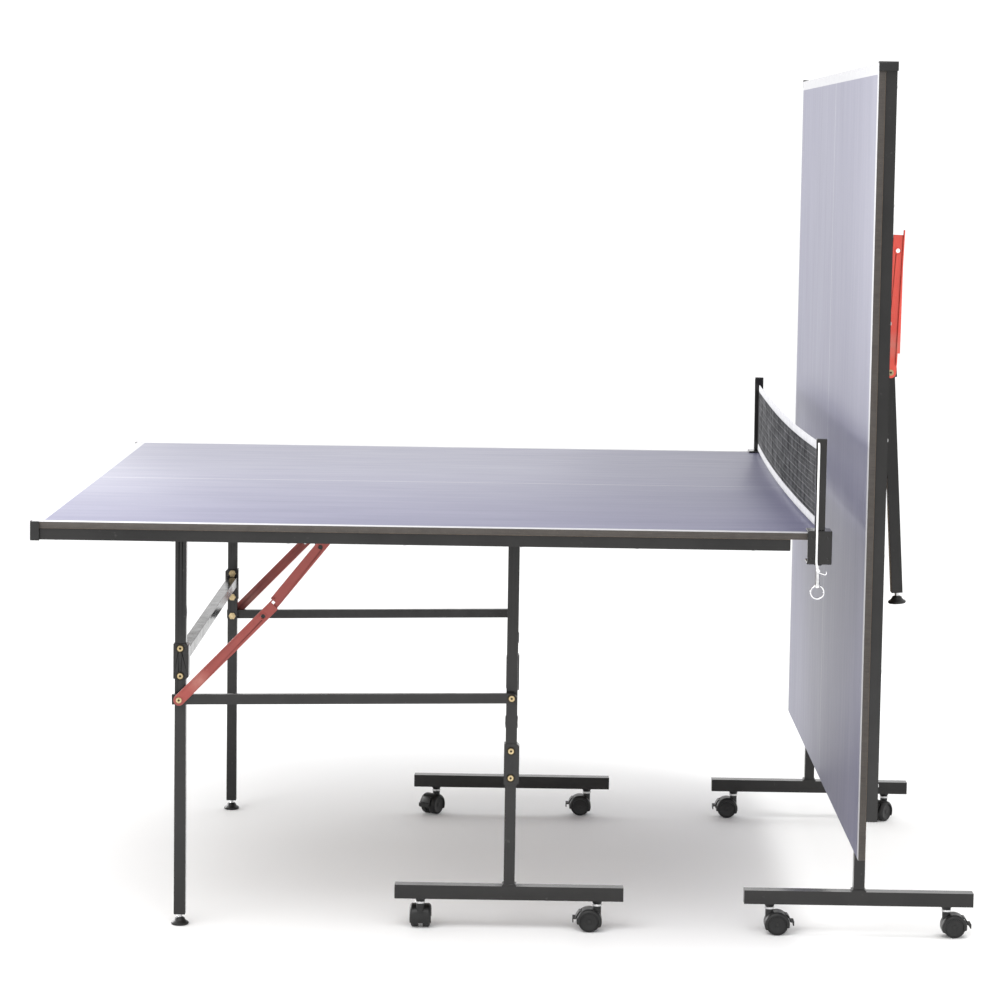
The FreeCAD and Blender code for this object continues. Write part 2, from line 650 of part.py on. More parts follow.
def clamp_screw(side):
    """Clamp screw with a pressure pad on top and a wire ring to turn it by."""
    x = NET_X0
    y = side * SCREW_Y
    shank = rod(vec(x, y, SCREW_Z[0]), vec(x, y, SCREW_Z[1]), BOLT_R - FIT)
    pad = rod(vec(x, y, PAD_Z[0]), vec(x, y, PAD_Z[1]), PAD_R)
    hub = rod(vec(x, y, SCREW_Z[0] - 6.0), vec(x, y, SCREW_Z[0] + 2.0), 5.0)
    ring = Part.makeTorus(11.5, 1.5, vec(x, y, RING_Z), Y)
    return [shank.fuse([pad, hub, ring])]


def net_cloth():
    """Net with its tapes as one thin bowed sheet between the posts."""
    x_end = NET_X0
    x_mid = NET_X0 - NET_BOW
    half = NET_T / 2
    ends = [(x_end - half, x_mid - half), (x_end + half, x_mid + half)]
    arcs = []
    for at_end, at_mid in ends:
        arcs.append(Part.Arc(vec(at_end, -NET_HALF, 0), vec(at_mid, 0, 0), vec(at_end, NET_HALF, 0)))
    sides = [Part.LineSegment(vec(x_end - half, y, 0), vec(x_end + half, y, 0))
             for y in (-NET_HALF, NET_HALF)]
    wire = Part.Wire(Part.__sortEdges__([s.toShape() for s in arcs + sides]))
    sheet = Part.Face(wire).extrude(Z * (NET_Z[1] - NET_Z[0]))
    sheet.translate(Z * NET_Z[0])
    return [sheet]


# Route of the tension cord: out of the near post, down past the clamp, into the hook.
CORD_ROUTE = (
    (NET_X0, -(POST_Y + POST / 2), 914.0),
    (NET_X0, CORD_Y, 914.0),
    (NET_X0, CORD_Y, 706.0),
    (NET_X0 + 2.5, CORD_Y + 0.5, 698.0),
)


def cord_path(points):
    """Straight runs joined by tangent arcs; prints each arc's radius."""
    edges = []
    start = vec(*points[0])
    for k in range(1, len(points) - 1):
        before = vec(*points[k - 1])
        corner = vec(*points[k])
        after = vec(*points[k + 1])
        back = (before - corner).normalize()
        ahead = (after - corner).normalize()
        shorter = min((before - corner).Length, (after - corner).Length)
        turn = math.pi - back.getAngle(ahead)
        cut = 0.45 * shorter
        radius = cut / math.tan(turn / 2)
        print("cord arc radius %.1f mm at point %d" % (radius, k))
        a = corner + back * cut
        b = corner + ahead * cut
        toward = (back + ahead).normalize()
        mid = corner + toward * (radius / math.cos(turn / 2) - radius)
        edges.append(Part.LineSegment(start, a).toShape())
        edges.append(Part.Arc(a, mid, b).toShape())
        start = b
    edges.append(Part.LineSegment(start, vec(*points[-1])).toShape())
    return Part.Wire(edges)


def net_cord():
    path = cord_path(CORD_ROUTE)
    first = vec(*CORD_ROUTE[0])
    heading = vec(*CORD_ROUTE[1]) - first
    ring = Part.Wire(Part.makeCircle(CORD_R, first, heading))
    body = path.makePipeShell([ring], True, False)
    area = math.pi * CORD_R ** 2
    print("cord length %.1f mm, volume / (area x length) %.4f"
          % (path.Length, body.Volume / (area * path.Length)))
    return [body]


def cord_hook():
    """Wire hook with an eye at the cord's end; it points towards the net side."""
    end = vec(*CORD_ROUTE[-1])
    heading = (end - vec(*CORD_ROUTE[-2])).normalize()
    knot = rod(end, end + heading * 6.0, 2.6)
    wire = 1.1
    elbow = end + heading * 5.0
    tip = elbow + vec(12.5, 0, -4.5)
    arm = rod(elbow, tip, wire)
    ball = Part.makeSphere(wire, tip)
    up = rod(tip, tip + vec(1.0, 0, 5.0), wire)
    return [knot.fuse([arm, ball, up])]


# ================================================================ placing and writing
def to_world_a(solids):
    placed = []
    for solid in solids:
        copy = solid.copy()
        copy.translate(vec(NET_X, 0, 0))
        placed.append(copy)
    return placed


def to_world_b(solids, body):
    placed = []
    for solid in solids:
        copy = solid.copy()
        for (x, z), degrees in FOLDED[body]:
            copy.rotate(vec(x, 0, z), Y, degrees)
        copy.translate(vec(-TLEG_X, 0, 0))
        copy.rotate(vec(0, 0, 0), Z, 180.0)
        copy.translate(vec(FRAME_X["b"], 0, 0))
        placed.append(copy)
    return placed


def place_caster(solids, half, side, end, heading):
    x, y = caster_stem(half, side, end)
    placed = []
    for solid in solids:
        copy = solid.copy()
        copy.rotate(vec(0, 0, 0), Z, heading)
        copy.translate(vec(x, y, 0))
        placed.append(copy)
    return placed


HALF_PARTS = (
    ("tabletop", tabletop, "top"),
    ("apron_frame", apron_frame, "top"),
    ("corner_caps", corner_caps, "top"),
    ("end_legs", end_legs, "legs"),
    ("end_leg_tubes", end_leg_tubes, "legs"),
    ("end_leg_bolts", end_leg_bolts, "legs"),
    ("wheel_frame", wheel_frame, "frame"),
    ("wheel_feet", wheel_feet, "frame"),
    ("wheel_frame_bolts", wheel_frame_bolts, "frame"),
    ("side_links", side_links, "links"),
    ("brace_lower", brace_lower, "brace_low"),
    ("brace_upper", brace_upper, "brace_up"),
)


def build_nodes():
    """All sub-parts in the world frame, by node name."""
    nodes = {}
    for name, make, body in HALF_PARTS:
        solids = make()
        nodes[name + "_a"] = to_world_a(solids)
        nodes[name + "_b"] = to_world_b(solids, body)
    for side, word in ((-1, "near"), (1, "far")):
        nodes["levelling_foot_a_" + word] = to_world_a(levelling_foot(side))
        nodes["levelling_foot_b_" + word] = to_world_b(levelling_foot(-side), "legs")
        nodes["net_clamp_" + word] = to_world_a(net_clamp(side))
        nodes["clamp_screw_" + word] = to_world_a(clamp_screw(side))
    nodes["net_posts"] = to_world_a(net_posts())
    nodes["net_cloth"] = to_world_a(net_cloth())
    nodes["net_cord"] = to_world_a(net_cord())
    nodes["cord_hook"] = to_world_a(cord_hook())
    for half, side, end, heading in CASTERS:
        stem = "caster_%s_%s_%s_" % (half, side, end)
        for word, solids in (("housing", [caster_housing()]), ("wheels", caster_wheels()),
                             ("brake", [caster_brake()])):
            nodes[stem + word] = place_caster(solids, half, side, end, heading)
    return nodes


def main():
    os.makedirs("parts", exist_ok=True)
    for name, solids in build_nodes().items():
        shape = solids[0] if len(solids) == 1 else Part.makeCompound(solids)
        shape.exportStep("parts/%s.step" % name)
    print("wrote the parts")


if __name__ == "__main__":
    main()
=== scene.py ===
"""Visual model of a folding ping pong table: one half level, one half folded upright."""
import bpy
import bmesh
import json
import math
import random
from mathutils import Matrix, Vector


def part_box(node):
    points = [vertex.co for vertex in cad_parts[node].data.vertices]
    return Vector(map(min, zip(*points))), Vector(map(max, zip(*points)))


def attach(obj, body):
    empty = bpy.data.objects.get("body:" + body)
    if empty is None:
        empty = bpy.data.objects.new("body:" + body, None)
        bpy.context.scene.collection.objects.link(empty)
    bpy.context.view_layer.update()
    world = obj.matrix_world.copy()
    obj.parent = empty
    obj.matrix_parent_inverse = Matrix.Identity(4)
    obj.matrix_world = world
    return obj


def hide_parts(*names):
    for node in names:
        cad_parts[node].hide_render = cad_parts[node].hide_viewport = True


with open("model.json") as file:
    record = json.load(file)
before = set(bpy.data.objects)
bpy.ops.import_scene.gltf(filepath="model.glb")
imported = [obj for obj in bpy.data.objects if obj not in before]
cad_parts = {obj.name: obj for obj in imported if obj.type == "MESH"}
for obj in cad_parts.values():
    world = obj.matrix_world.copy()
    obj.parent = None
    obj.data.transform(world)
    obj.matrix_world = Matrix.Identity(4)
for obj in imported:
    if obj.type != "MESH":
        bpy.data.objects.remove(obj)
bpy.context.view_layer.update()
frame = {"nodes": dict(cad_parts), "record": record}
nodes = frame["nodes"]
MM = 0.001
random.seed(7)

# ------------------------------------------------------------------ sizes of a half
# Half frame in millimetres: the net end of a level board is x = 0, its outer end -1370.
BOARD_L, BOARD_W = 1370.0, 1525.0
TOP_Z, BOARD_Z = 760.0, 748.0
LEG_Y = 520.0
TROLLEY_X, END_LEG_X = -542.0, -1138.0
CROSS_TUBES_X = (-585.0, -887.0, -1165.0)
# Pivots (x, z): trolley and end legs to the board, the side link's two ends, the brace's knee.
P_T, P_E = (TROLLEY_X, 732.0), (END_LEG_X, 722.0)
Q_T, Q_E = (TROLLEY_X, 428.0), (END_LEG_X, 416.8)
KNEE = (-988.1, 570.9)
# How half b is folded from level: pivots and degrees, in the order they are turned.
FOLD = 90.0
LEGS_TURN = -0.96 * FOLD
FOLDED = {
    "frame": [],
    "top": [(P_T, FOLD)],
    "legs": [(P_E, LEGS_TURN), (P_T, FOLD)],
    "brace_low": [(Q_E, -0.5533 * FOLD), (P_E, LEGS_TURN), (P_T, FOLD)],
}
NET_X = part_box("tabletop_a")[1][0] / MM
FRAME_B_X = sum(corner[0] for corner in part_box("wheel_feet_b")) / 2 / MM


def half_matrix(half, body):
    """Carries half-frame millimetres to the shared frame in metres, for one body at rest."""
    scale = Matrix.Scale(MM, 4)
    if half == "a":
        return scale @ Matrix.Translation((NET_X, 0, 0))
    move = Matrix.Identity(4)
    for (x, z), degrees in FOLDED[body]:
        centre = Matrix.Translation((x, 0, z))
        turn = Matrix.Rotation(math.radians(degrees), 4, "Y")
        move = centre @ turn @ centre.inverted() @ move
    stand = Matrix.Translation((FRAME_B_X, 0, 0)) @ Matrix.Rotation(math.pi, 4, "Z")
    return scale @ stand @ Matrix.Translation((-P_T[0], 0, 0)) @ move


# ------------------------------------------------------------------ camera
# Well back from the near side, above the boards; the turn, tilt and roll are in degrees.
CAM_AT = ((NET_X - 529.4) * MM, -6.3052, 1.4055)
CAM_YAW, CAM_PITCH, CAM_ROLL = 0.3867, 6.1443, 0.8336
CAM_SENSOR = 36.0
CAM_LENS = 3.2556 * CAM_SENSOR


def add_camera():
    data = bpy.data.cameras.new("camera")
    data.lens = CAM_LENS
    data.sensor_width = CAM_SENSOR
    data.clip_end = 100.0
    obj = bpy.data.objects.new("camera", data)
    bpy.context.scene.collection.objects.link(obj)
    yaw, pitch, roll = (math.radians(a) for a in (CAM_YAW, CAM_PITCH, CAM_ROLL))
    forward = Vector((-math.sin(yaw) * math.cos(pitch), math.cos(yaw) * math.cos(pitch),
                      -math.sin(pitch)))
    right = Vector((math.cos(yaw), math.sin(yaw), 0.0))
    up = right.cross(forward)
    rolled_right = math.cos(roll) * right + math.sin(roll) * up
    rolled_up = -math.sin(roll) * right + math.cos(roll) * up
    turn = Matrix((rolled_right, rolled_up, -forward)).transposed()
    obj.matrix_world = Matrix.Translation(CAM_AT) @ turn.to_4x4()
    bpy.context.scene.camera = obj


add_camera()


# ------------------------------------------------------------------ node helpers
class Shader:
    """Builds a procedural material with few words."""

    def __init__(self, name):
        self.mat = bpy.data.materials.new(name)
        self.mat.use_nodes = True
        self.tree = self.mat.node_tree
        self.bsdf = self.tree.nodes["Principled BSDF"]
        self.coords = self.tree.nodes.new("ShaderNodeTexCoord").outputs["Object"]

    def put(self, kind, **settings):
        node = self.tree.nodes.new(kind)
        for key, value in settings.items():
            setattr(node, key, value)
        return node

    def link(self, source, target):
        self.tree.links.new(source, target)

    def set(self, name, value):
        self.bsdf.inputs[name].default_value = value

    def scaled(self, scale):
        node = self.put("ShaderNodeMapping")
        node.inputs["Scale"].default_value = scale
        self.link(self.coords, node.inputs["Vector"])
        return node.outputs["Vector"]

    def noise(self, scale, detail=3.0, rough=0.5, stretch=None):
        node = self.put("ShaderNodeTexNoise")
        node.inputs["Scale"].default_value = scale
        node.inputs["Detail"].default_value = detail
        node.inputs["Roughness"].default_value = rough
        self.link(self.scaled(stretch) if stretch else self.coords, node.inputs["Vector"])
        return node.outputs["Fac"]

    def ramp(self, source, stops):
        node = self.put("ShaderNodeValToRGB")
        ramp = node.color_ramp
        while len(ramp.elements) < len(stops):
            ramp.elements.new(0.5)
        for element, (place, color) in zip(ramp.elements, stops):
            element.position = place
            element.color = (*color, 1.0)
        self.link(source, node.inputs["Fac"])
        return node.outputs["Color"]

    def grey(self, source, start, end, low=0.0, high=1.0):
        """Goes from grey low to grey high while source goes from start to end."""
        return self.ramp(source, [(start, (low,) * 3), (end, (high,) * 3)])

    def math(self, operation, a, b=None):
        node = self.put("ShaderNodeMath", operation=operation)
        for slot, value in zip(node.inputs, (a, b)):
            if value is None:
                continue
            if isinstance(value, (int, float)):
                slot.default_value = value
            else:
                self.link(value, slot)
        return node.outputs["Value"]

    def mix(self, factor, first, second, blend="MIX"):
        node = self.put("ShaderNodeMix", data_type="RGBA", blend_type=blend)
        sockets = [s for s in node.inputs if s.enabled]
        for slot, value in zip(sockets, (factor, first, second)):
            if isinstance(value, (int, float)):
                slot.default_value = value
            elif isinstance(value, tuple):
                slot.default_value = (*value, 1.0)
            else:
                self.link(value, slot)
        return [s for s in node.outputs if s.enabled][0]

    def bump(self, height, strength, distance):
        node = self.put("ShaderNodeBump")
        node.inputs["Strength"].default_value = strength
        node.inputs["Distance"].default_value = distance
        self.link(height, node.inputs["Height"])
        self.link(node.outputs["Normal"], self.bsdf.inputs["Normal"])

    def color(self, source):
        self.link(source, self.bsdf.inputs["Base Color"])

    def rough(self, source):
        self.link(source, self.bsdf.inputs["Roughness"])


def tones(s, scale, low, high, detail=4.0):
    """A colour wandering between two tones."""
    return s.ramp(s.noise(scale, detail, 0.55), [(0.3, low), (0.7, high)])


def rough_between(s, scale, low, high):
    s.rough(s.grey(s.noise(scale), 0.3, 0.72, low, high))


def steel_paint(name, dark, light, rubbed, rough, spec):
    """Fine-textured powder coat with rubbed spots."""
    s = Shader(name)
    s.set("Specular IOR Level", spec)
    base = tones(s, 9.0, dark, light)
    rub = s.grey(s.noise(75.0, 7.0, 0.68), 0.63, 0.72)
    patch = s.grey(s.noise(6.0, 2.0), 0.52, 0.62)
    worn = s.math("MULTIPLY", s.math("MULTIPLY", rub, patch), 0.5)
    s.color(s.mix(worn, base, rubbed))
    rough_between(s, 45.0, *rough)
    grain = s.math("ADD", s.noise(1300.0, 2.0), s.math("MULTIPLY", s.noise(70.0), 0.7))
    s.bump(grain, 0.11, 0.0003)
    return s.mat


def moulded(name, dark, light, grain=1800.0, rough=(0.36, 0.50)):
    """Moulded plastic, rubber or thread with pale scuffs."""
    s = Shader(name)
    s.set("Specular IOR Level", 0.36)
    base = tones(s, 30.0, dark, light, 3.0)
    scuff = s.grey(s.noise(160.0, 6.0, 0.7), 0.66, 0.73)
    s.color(s.mix(s.math("MULTIPLY", scuff, 0.35), base, (0.06, 0.058, 0.056)))
    rough_between(s, 80.0, *rough)
    s.bump(s.noise(grain, 2.0), 0.18, 0.0003)
    return s.mat


def metal(name, low, high, rough=(0.24, 0.42)):
    """Bare or plated metal with fine blotches."""
    s = Shader(name)
    s.color(tones(s, 160.0, low, high))
    rough_between(s, 260.0, *rough)
    s.set("Metallic", 1.0)
    s.bump(s.noise(1500.0, 2.0), 0.12, 0.0002)
    return s.mat


def uv_axes(s):
    """Half-frame x and y, in metres, kept in the board's UV layer."""
    node = s.put("ShaderNodeUVMap", uv_map="half")
    split = s.put("ShaderNodeSeparateXYZ")
    s.link(node.outputs["UV"], split.inputs["Vector"])
    return node.outputs["UV"], split.outputs["X"], split.outputs["Y"]


def uv_noise(s, uv, scale, detail, stretch=(1.0, 1.0, 1.0)):
    spread = s.put("ShaderNodeMapping")
    spread.inputs["Scale"].default_value = stretch
    s.link(uv, spread.inputs["Vector"])
    node = s.put("ShaderNodeTexNoise")
    node.inputs["Scale"].default_value = scale
    node.inputs["Detail"].default_value = detail
    s.link(spread.outputs["Vector"], node.inputs["Vector"])
    return node.outputs["Fac"]


def stripe(s, coord, centre, half, soft=0.0006):
    """1 inside a band around centre, fading over soft metres."""
    away = s.math("ABSOLUTE", s.math("SUBTRACT", coord, centre))
    node = s.put("ShaderNodeMapRange")
    node.inputs["From Min"].default_value = half + soft / 2
    node.inputs["From Max"].default_value = half - soft / 2
    s.link(away, node.inputs["Value"])
    return node.outputs["Result"]


SIDE_LINE_HALF, CENTRE_LINE_HALF = 0.0095, 0.0015


def playing_face():
    """Rolled blue paint with fine marks, and the painted side, end and centre lines."""
    s = Shader("blue_playing_face")
    uv, x, y = uv_axes(s)
    board = s.ramp(uv_noise(s, uv, 3.0, 4.0, (1.0, 4.0, 1.0)),
                   [(0.3, (0.086, 0.085, 0.140)), (0.7, (0.110, 0.108, 0.166))])
    rolled = s.grey(uv_noise(s, uv, 5.0, 5.0, (0.35, 22.0, 1.0)), 0.35, 0.75)
    board = s.mix(s.math("MULTIPLY", rolled, 0.08), board, (0.150, 0.147, 0.196))
    marks = s.grey(uv_noise(s, uv, 55.0, 8.0), 0.66, 0.74)
    board = s.mix(s.math("MULTIPLY", marks, 0.10), board, (0.32, 0.32, 0.38))
    edge_y = BOARD_W * MM / 2 - SIDE_LINE_HALF
    side = s.math("MAXIMUM", stripe(s, y, edge_y, SIDE_LINE_HALF),
                  stripe(s, y, -edge_y, SIDE_LINE_HALF))
    end = stripe(s, x, -BOARD_L * MM + SIDE_LINE_HALF, SIDE_LINE_HALF)
    lines = s.math("MAXIMUM", s.math("MAXIMUM", side, end), stripe(s, y, 0.0, CENTRE_LINE_HALF))
    lines = s.math("MULTIPLY", lines, s.grey(uv_noise(s, uv, 90.0, 6.0), 0.35, 0.6, 0.86))
    s.color(s.mix(lines, board, (0.37, 0.37, 0.38)))
    s.rough(s.grey(uv_noise(s, uv, 7.0, 4.0, (0.6, 6.0, 1.0)), 0.3, 0.7, 0.39, 0.43))
    s.bump(s.math("ADD", uv_noise(s, uv, 900.0, 2.0), s.math("MULTIPLY", lines, 0.8)),
           0.10, 0.0003)
    s.set("Specular IOR Level", 0.5)
    return s.mat


def board_edge():
    """Brown wood fibre, sawn."""
    s = Shader("board_edge")
    fibres = s.ramp(s.noise(40.0, 6.0, 0.6, (1.0, 1.0, 14.0)),
                    [(0.25, (0.031, 0.027, 0.024)), (0.75, (0.054, 0.045, 0.038))])
    flecks = s.grey(s.noise(420.0), 0.60, 0.72)
    s.color(s.mix(s.math("MULTIPLY", flecks, 0.3), fibres, (0.118, 0.094, 0.074)))
    rough_between(s, 60.0, 0.62, 0.82)
    s.bump(s.noise(700.0, 4.0), 0.30, 0.0004)
    return s.mat


def board_back():
    """Unpainted underside of pressed chips."""
    s = Shader("board_underside")
    chips = s.ramp(s.noise(260.0, 5.0, 0.62),
                   [(0.30, (0.120, 0.082, 0.050)), (0.72, (0.190, 0.135, 0.086))])
    patch = tones(s, 3.0, (0.9, 0.9, 0.9), (1.0, 1.0, 1.0))
    s.color(s.mix(1.0, chips, patch, "MULTIPLY"))
    rough_between(s, 90.0, 0.66, 0.84)
    s.bump(s.noise(520.0, 4.0), 0.25, 0.0004)
    return s.mat


def woven(name, dark, light, threads):
    """Tape or sleeve cloth: a fine two-way weave."""
    s = Shader(name)
    weave = []
    for axis in ("Y", "Z"):
        wave = s.put("ShaderNodeTexWave", bands_direction=axis)
        wave.inputs["Scale"].default_value = threads
        wave.inputs["Distortion"].default_value = 0.6
        s.link(s.coords, wave.inputs["Vector"])
        weave.append(wave.outputs["Fac"])
    s.color(s.ramp(s.noise(60.0, 4.0), [(0.3, dark), (0.7, light)]))
    rough_between(s, 200.0, 0.78, 0.92)
    s.bump(s.math("MULTIPLY", *weave), 0.35, 0.0004)
    return s.mat


GRIP_AT = (-1104.0, 0.0, 452.0)


def red_paint(name, dark, light, half):
    """Red enamel, rubbed pale by hands near the lower end of the brace."""
    s = Shader(name)
    base = tones(s, 16.0, dark, light)
    grip = half_matrix(half, "brace_low") @ Vector(GRIP_AT)
    away = s.put("ShaderNodeVectorMath", operation="DISTANCE")
    s.link(s.scaled((1.0, 0.0, 1.0)), away.inputs[0])
    away.inputs[1].default_value = (grip.x, 0.0, grip.z)
    near = s.put("ShaderNodeMapRange")
    near.inputs["From Min"].default_value = 0.026
    near.inputs["From Max"].default_value = 0.004
    s.link(away.outputs["Value"], near.inputs["Value"])
    rub = s.math("MULTIPLY", near.outputs["Result"],
                 s.grey(s.noise(70.0, 5.0, 0.6), 0.25, 0.6, 0.35))
    base = s.mix(s.math("MULTIPLY", rub, 0.62), base, (0.44, 0.19, 0.155))
    scuff = s.grey(s.noise(120.0, 7.0, 0.7), 0.64, 0.72)
    patch = s.grey(s.noise(9.0, 2.0), 0.50, 0.60)
    worn = s.math("MULTIPLY", s.math("MULTIPLY", scuff, patch), 0.7)
    s.color(s.mix(worn, base, (0.62, 0.28, 0.22)))
    rough_between(s, 60.0, 0.34, 0.50)
    grain = s.math("ADD", s.noise(900.0, 2.0), s.math("MULTIPLY", s.noise(90.0), 0.5))
    s.bump(grain, 0.14, 0.0004)
    return s.mat


STEEL = steel_paint("black_powder_coat", (0.0105, 0.0100, 0.0098), (0.0175, 0.0168, 0.0162),
                    (0.11, 0.105, 0.10), (0.13, 0.24), 0.34)
PLASTIC = moulded("black_plastic", (0.008, 0.008, 0.008), (0.014, 0.014, 0.014))
TREAD = moulded("wheel_tread", (0.006, 0.006, 0.0065), (0.011, 0.011, 0.011), 900.0,
                (0.40, 0.55))
# RED_SHADED is a darker copy of RED. It is painted shade for the braces of the level half, which
# hang under its board; both halves carry the same red paint.
RED = red_paint("red_brace_paint", (0.60, 0.050, 0.031), (0.70, 0.070, 0.044), "b")
RED_SHADED = red_paint("red_brace_paint_shaded", (0.255, 0.042, 0.034), (0.325, 0.056, 0.044), "a")
BRASS = metal("yellow_zinc", (0.36, 0.28, 0.15), (0.58, 0.46, 0.27))
ZINC = metal("clear_zinc", (0.50, 0.50, 0.51), (0.70, 0.70, 0.70))
WIRE = metal("bright_wire", (0.74, 0.74, 0.75), (0.86, 0.86, 0.87), (0.14, 0.28))
FACE = playing_face()
EDGE = board_edge()
BACK = board_back()
STRING = moulded("net_string", (0.026, 0.026, 0.028), (0.130, 0.130, 0.134), 2400.0,
                 (0.60, 0.78))
TAPE = woven("white_tape", (0.46, 0.46, 0.47), (0.56, 0.56, 0.57), 260.0)
SLEEVE = woven("black_sleeve", (0.018, 0.018, 0.020), (0.034, 0.034, 0.036), 260.0)
SEAM = moulded("seam_thread", (0.30, 0.30, 0.31), (0.42, 0.42, 0.43), 2400.0, (0.70, 0.85))
# Dark zinc for the washers. The same material is also painted shade: dark discs down in the bolt
# heads' hexagon sockets.
SOCKET_SHADE_AND_DARK_ZINC = metal("darkened_zinc", (0.030, 0.026, 0.020), (0.055, 0.048, 0.036), (0.45, 0.62))
CORD = woven("white_cord", (0.76, 0.76, 0.77), (0.88, 0.88, 0.88), 420.0)
MATS = {
    "black_steel": STEEL, "black_plastic": PLASTIC, "red_steel": RED, "zinc_bolts": BRASS,
    "zinc_screw": ZINC, "chrome_wire": WIRE, "wheel_tread": TREAD, "blue_board": BACK,
    "net_mesh": STRING, "white_cord": CORD,
}

# ------------------------------------------------------------------ piece helpers
SHARP_DEG, ROUND_DEG = 35.0, 60.0


class Mesh:
    """Collects vertices and faces in millimetres, and makes a piece of them."""

    def __init__(self):
        self.verts = []
        self.faces = []

    def add(self, verts, faces, place=None):
        base = len(self.verts)
        place = place or Matrix.Identity(4)
        self.verts += [place @ Vector(v) for v in verts]
        self.faces += [tuple(i + base for i in face) for face in faces]

    def lathe(self, profile, place, steps, spin=None):
        """Turns a (radius, height) outline about Z; spin shapes each ring by its angle."""
        verts, faces, rings = [], [], []
        turning = sum(a[0] * b[1] - b[0] * a[1]
                      for a, b in zip(profile, profile[1:] + profile[:1]))
        if turning < 0:
            profile = profile[::-1]
        for r, h in profile:
            if r == 0:
                rings.append([len(verts)] * steps)
                verts.append((0, 0, h))
                continue
            rings.append(list(range(len(verts), len(verts) + steps)))
            for k in range(steps):
                a = 2 * math.pi * k / steps
                wide = r * (spin(k, steps) if spin else 1.0)
                verts.append((wide * math.cos(a), wide * math.sin(a), h))
        for i in range(len(rings) - 1):
            for k in range(steps):
                n = (k + 1) % steps
                quad = [rings[i][k], rings[i][n], rings[i + 1][n], rings[i + 1][k]]
                face = tuple(dict.fromkeys(quad))
                if len(face) > 2:
                    faces.append(face)
        self.add(verts, faces, place)

    def pipe(self, points, radius, sides, closed=False, place=None):
        """A round bar along points, with flat ends; radius may be a function of the index."""
        points = [Vector(p) for p in points]
        count = len(points)
        verts, faces = [], []
        normal = None
        for i, p in enumerate(points):
            if closed:
                along = points[(i + 1) % count] - points[i - 1]
            else:
                along = points[min(i + 1, count - 1)] - points[max(i - 1, 0)]
            along.normalize()
            if normal is None:
                normal = along.orthogonal().normalized()
            normal = (normal - along * normal.dot(along)).normalized()
            other = along.cross(normal)
            for k in range(sides):
                a = 2 * math.pi * k / sides
                r = radius(i) if callable(radius) else radius
                verts.append(p + r * (math.cos(a) * normal + math.sin(a) * other))
        last = count if closed else count - 1
        for i in range(last):
            j = (i + 1) % count
            for k in range(sides):
                n = (k + 1) % sides
                faces.append((i * sides + k, i * sides + n, j * sides + n, j * sides + k))
        if not closed:
            faces.append(tuple(reversed(range(sides))))
            faces.append(tuple(range((count - 1) * sides, count * sides)))
        self.add(verts, faces, place)

    def block(self, low, high, chamfer):
        """A box with rounded edges."""
        bm = bmesh.new()
        bmesh.ops.create_cube(bm, size=1.0)
        for v in bm.verts:
            v.co = Vector([(low[i] + high[i]) / 2 + v.co[i] * (high[i] - low[i])
                           for i in range(3)])
        bmesh.ops.bevel(bm, geom=list(bm.edges), offset=chamfer, segments=2, profile=0.7,
                        affect="EDGES")
        bm.verts.ensure_lookup_table()
        self.add([v.co.copy() for v in bm.verts],
                 [[v.index for v in f.verts] for f in bm.faces])
        bm.free()

    def piece(self, name, mat, slot, body, matrix, crease=SHARP_DEG):
        """A piece that rides on a body; matrix carries its millimetres into the shared frame."""
        mesh = bpy.data.meshes.new(name)
        mesh.from_pydata([tuple(v) for v in self.verts], [], self.faces)
        mesh.transform(matrix)
        if matrix.determinant() < 0:
            mesh.flip_normals()
        mesh.materials.append(mat)
        obj = bpy.data.objects.new(name, mesh)
        bpy.context.scene.collection.objects.link(obj)
        for poly in mesh.polygons:
            poly.use_smooth = True
        mesh.set_sharp_from_angle(angle=math.radians(crease))
        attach(obj, body)
        return obj


def ring_points(count, at_angle):
    """Points round a closed loop, from a function of the angle."""
    return [at_angle(2 * math.pi * i / count) for i in range(count)]


def aim(at, direction):
    """Places a lathe's Z axis along direction, starting at a point."""
    turn = Vector(direction).to_track_quat("Z", "Y").to_matrix().to_4x4()
    return Matrix.Translation(at) @ turn


def hexagon(k, steps):
    """Radius factor that turns a lathe ring into a hexagon."""
    a = 2 * math.pi * k / steps
    return math.cos(math.pi / 6) / math.cos((a % (math.pi / 3)) - math.pi / 6)


# ------------------------------------------------------------------ boards
FACE_UP = 0.6


def add_board(half):
    """Board with a rounded rim; its UV layer holds half-frame metres for the painted lines."""
    bm = bmesh.new()
    bmesh.ops.create_cube(bm, size=1.0)
    for v in bm.verts:
        v.co = Vector((-BOARD_L / 2 + v.co.x * BOARD_L, v.co.y * BOARD_W,
                       (TOP_Z + BOARD_Z) / 2 + v.co.z * (TOP_Z - BOARD_Z)))
    bmesh.ops.bevel(bm, geom=list(bm.edges), offset=0.9, segments=3, profile=0.5, affect="EDGES")
    layer = bm.loops.layers.uv.new("half")
    for face in bm.faces:
        face.smooth = True
        up = face.normal.z
        face.material_index = 0 if up > FACE_UP else 2 if up < -FACE_UP else 1
        for loop in face.loops:
            loop[layer].uv = (loop.vert.co.x * MM, loop.vert.co.y * MM)
    mesh = bpy.data.meshes.new("board_" + half)
    bm.to_mesh(mesh)
    bm.free()
    mesh.set_sharp_from_angle(angle=math.radians(40.0))
    mesh.transform(half_matrix(half, "top"))
    for mat in (FACE, EDGE, BACK):
        mesh.materials.append(mat)
    obj = bpy.data.objects.new("board_" + half, mesh)
    bpy.context.scene.collection.objects.link(obj)
    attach(obj, "top_" + half)
    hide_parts("tabletop_" + half)


# ------------------------------------------------------------------ the CAD nodes that stay
def soften(obj, width):
    """Rounds the sharp edges of a CAD node."""
    weld = obj.modifiers.new("weld", "WELD")
    weld.merge_threshold = 0.00001
    mod = obj.modifiers.new("bevel", "BEVEL")
    mod.width = width
    mod.segments = 3
    mod.limit_method = "ANGLE"
    mod.angle_limit = math.radians(40.0)
    mod.harden_normals = True


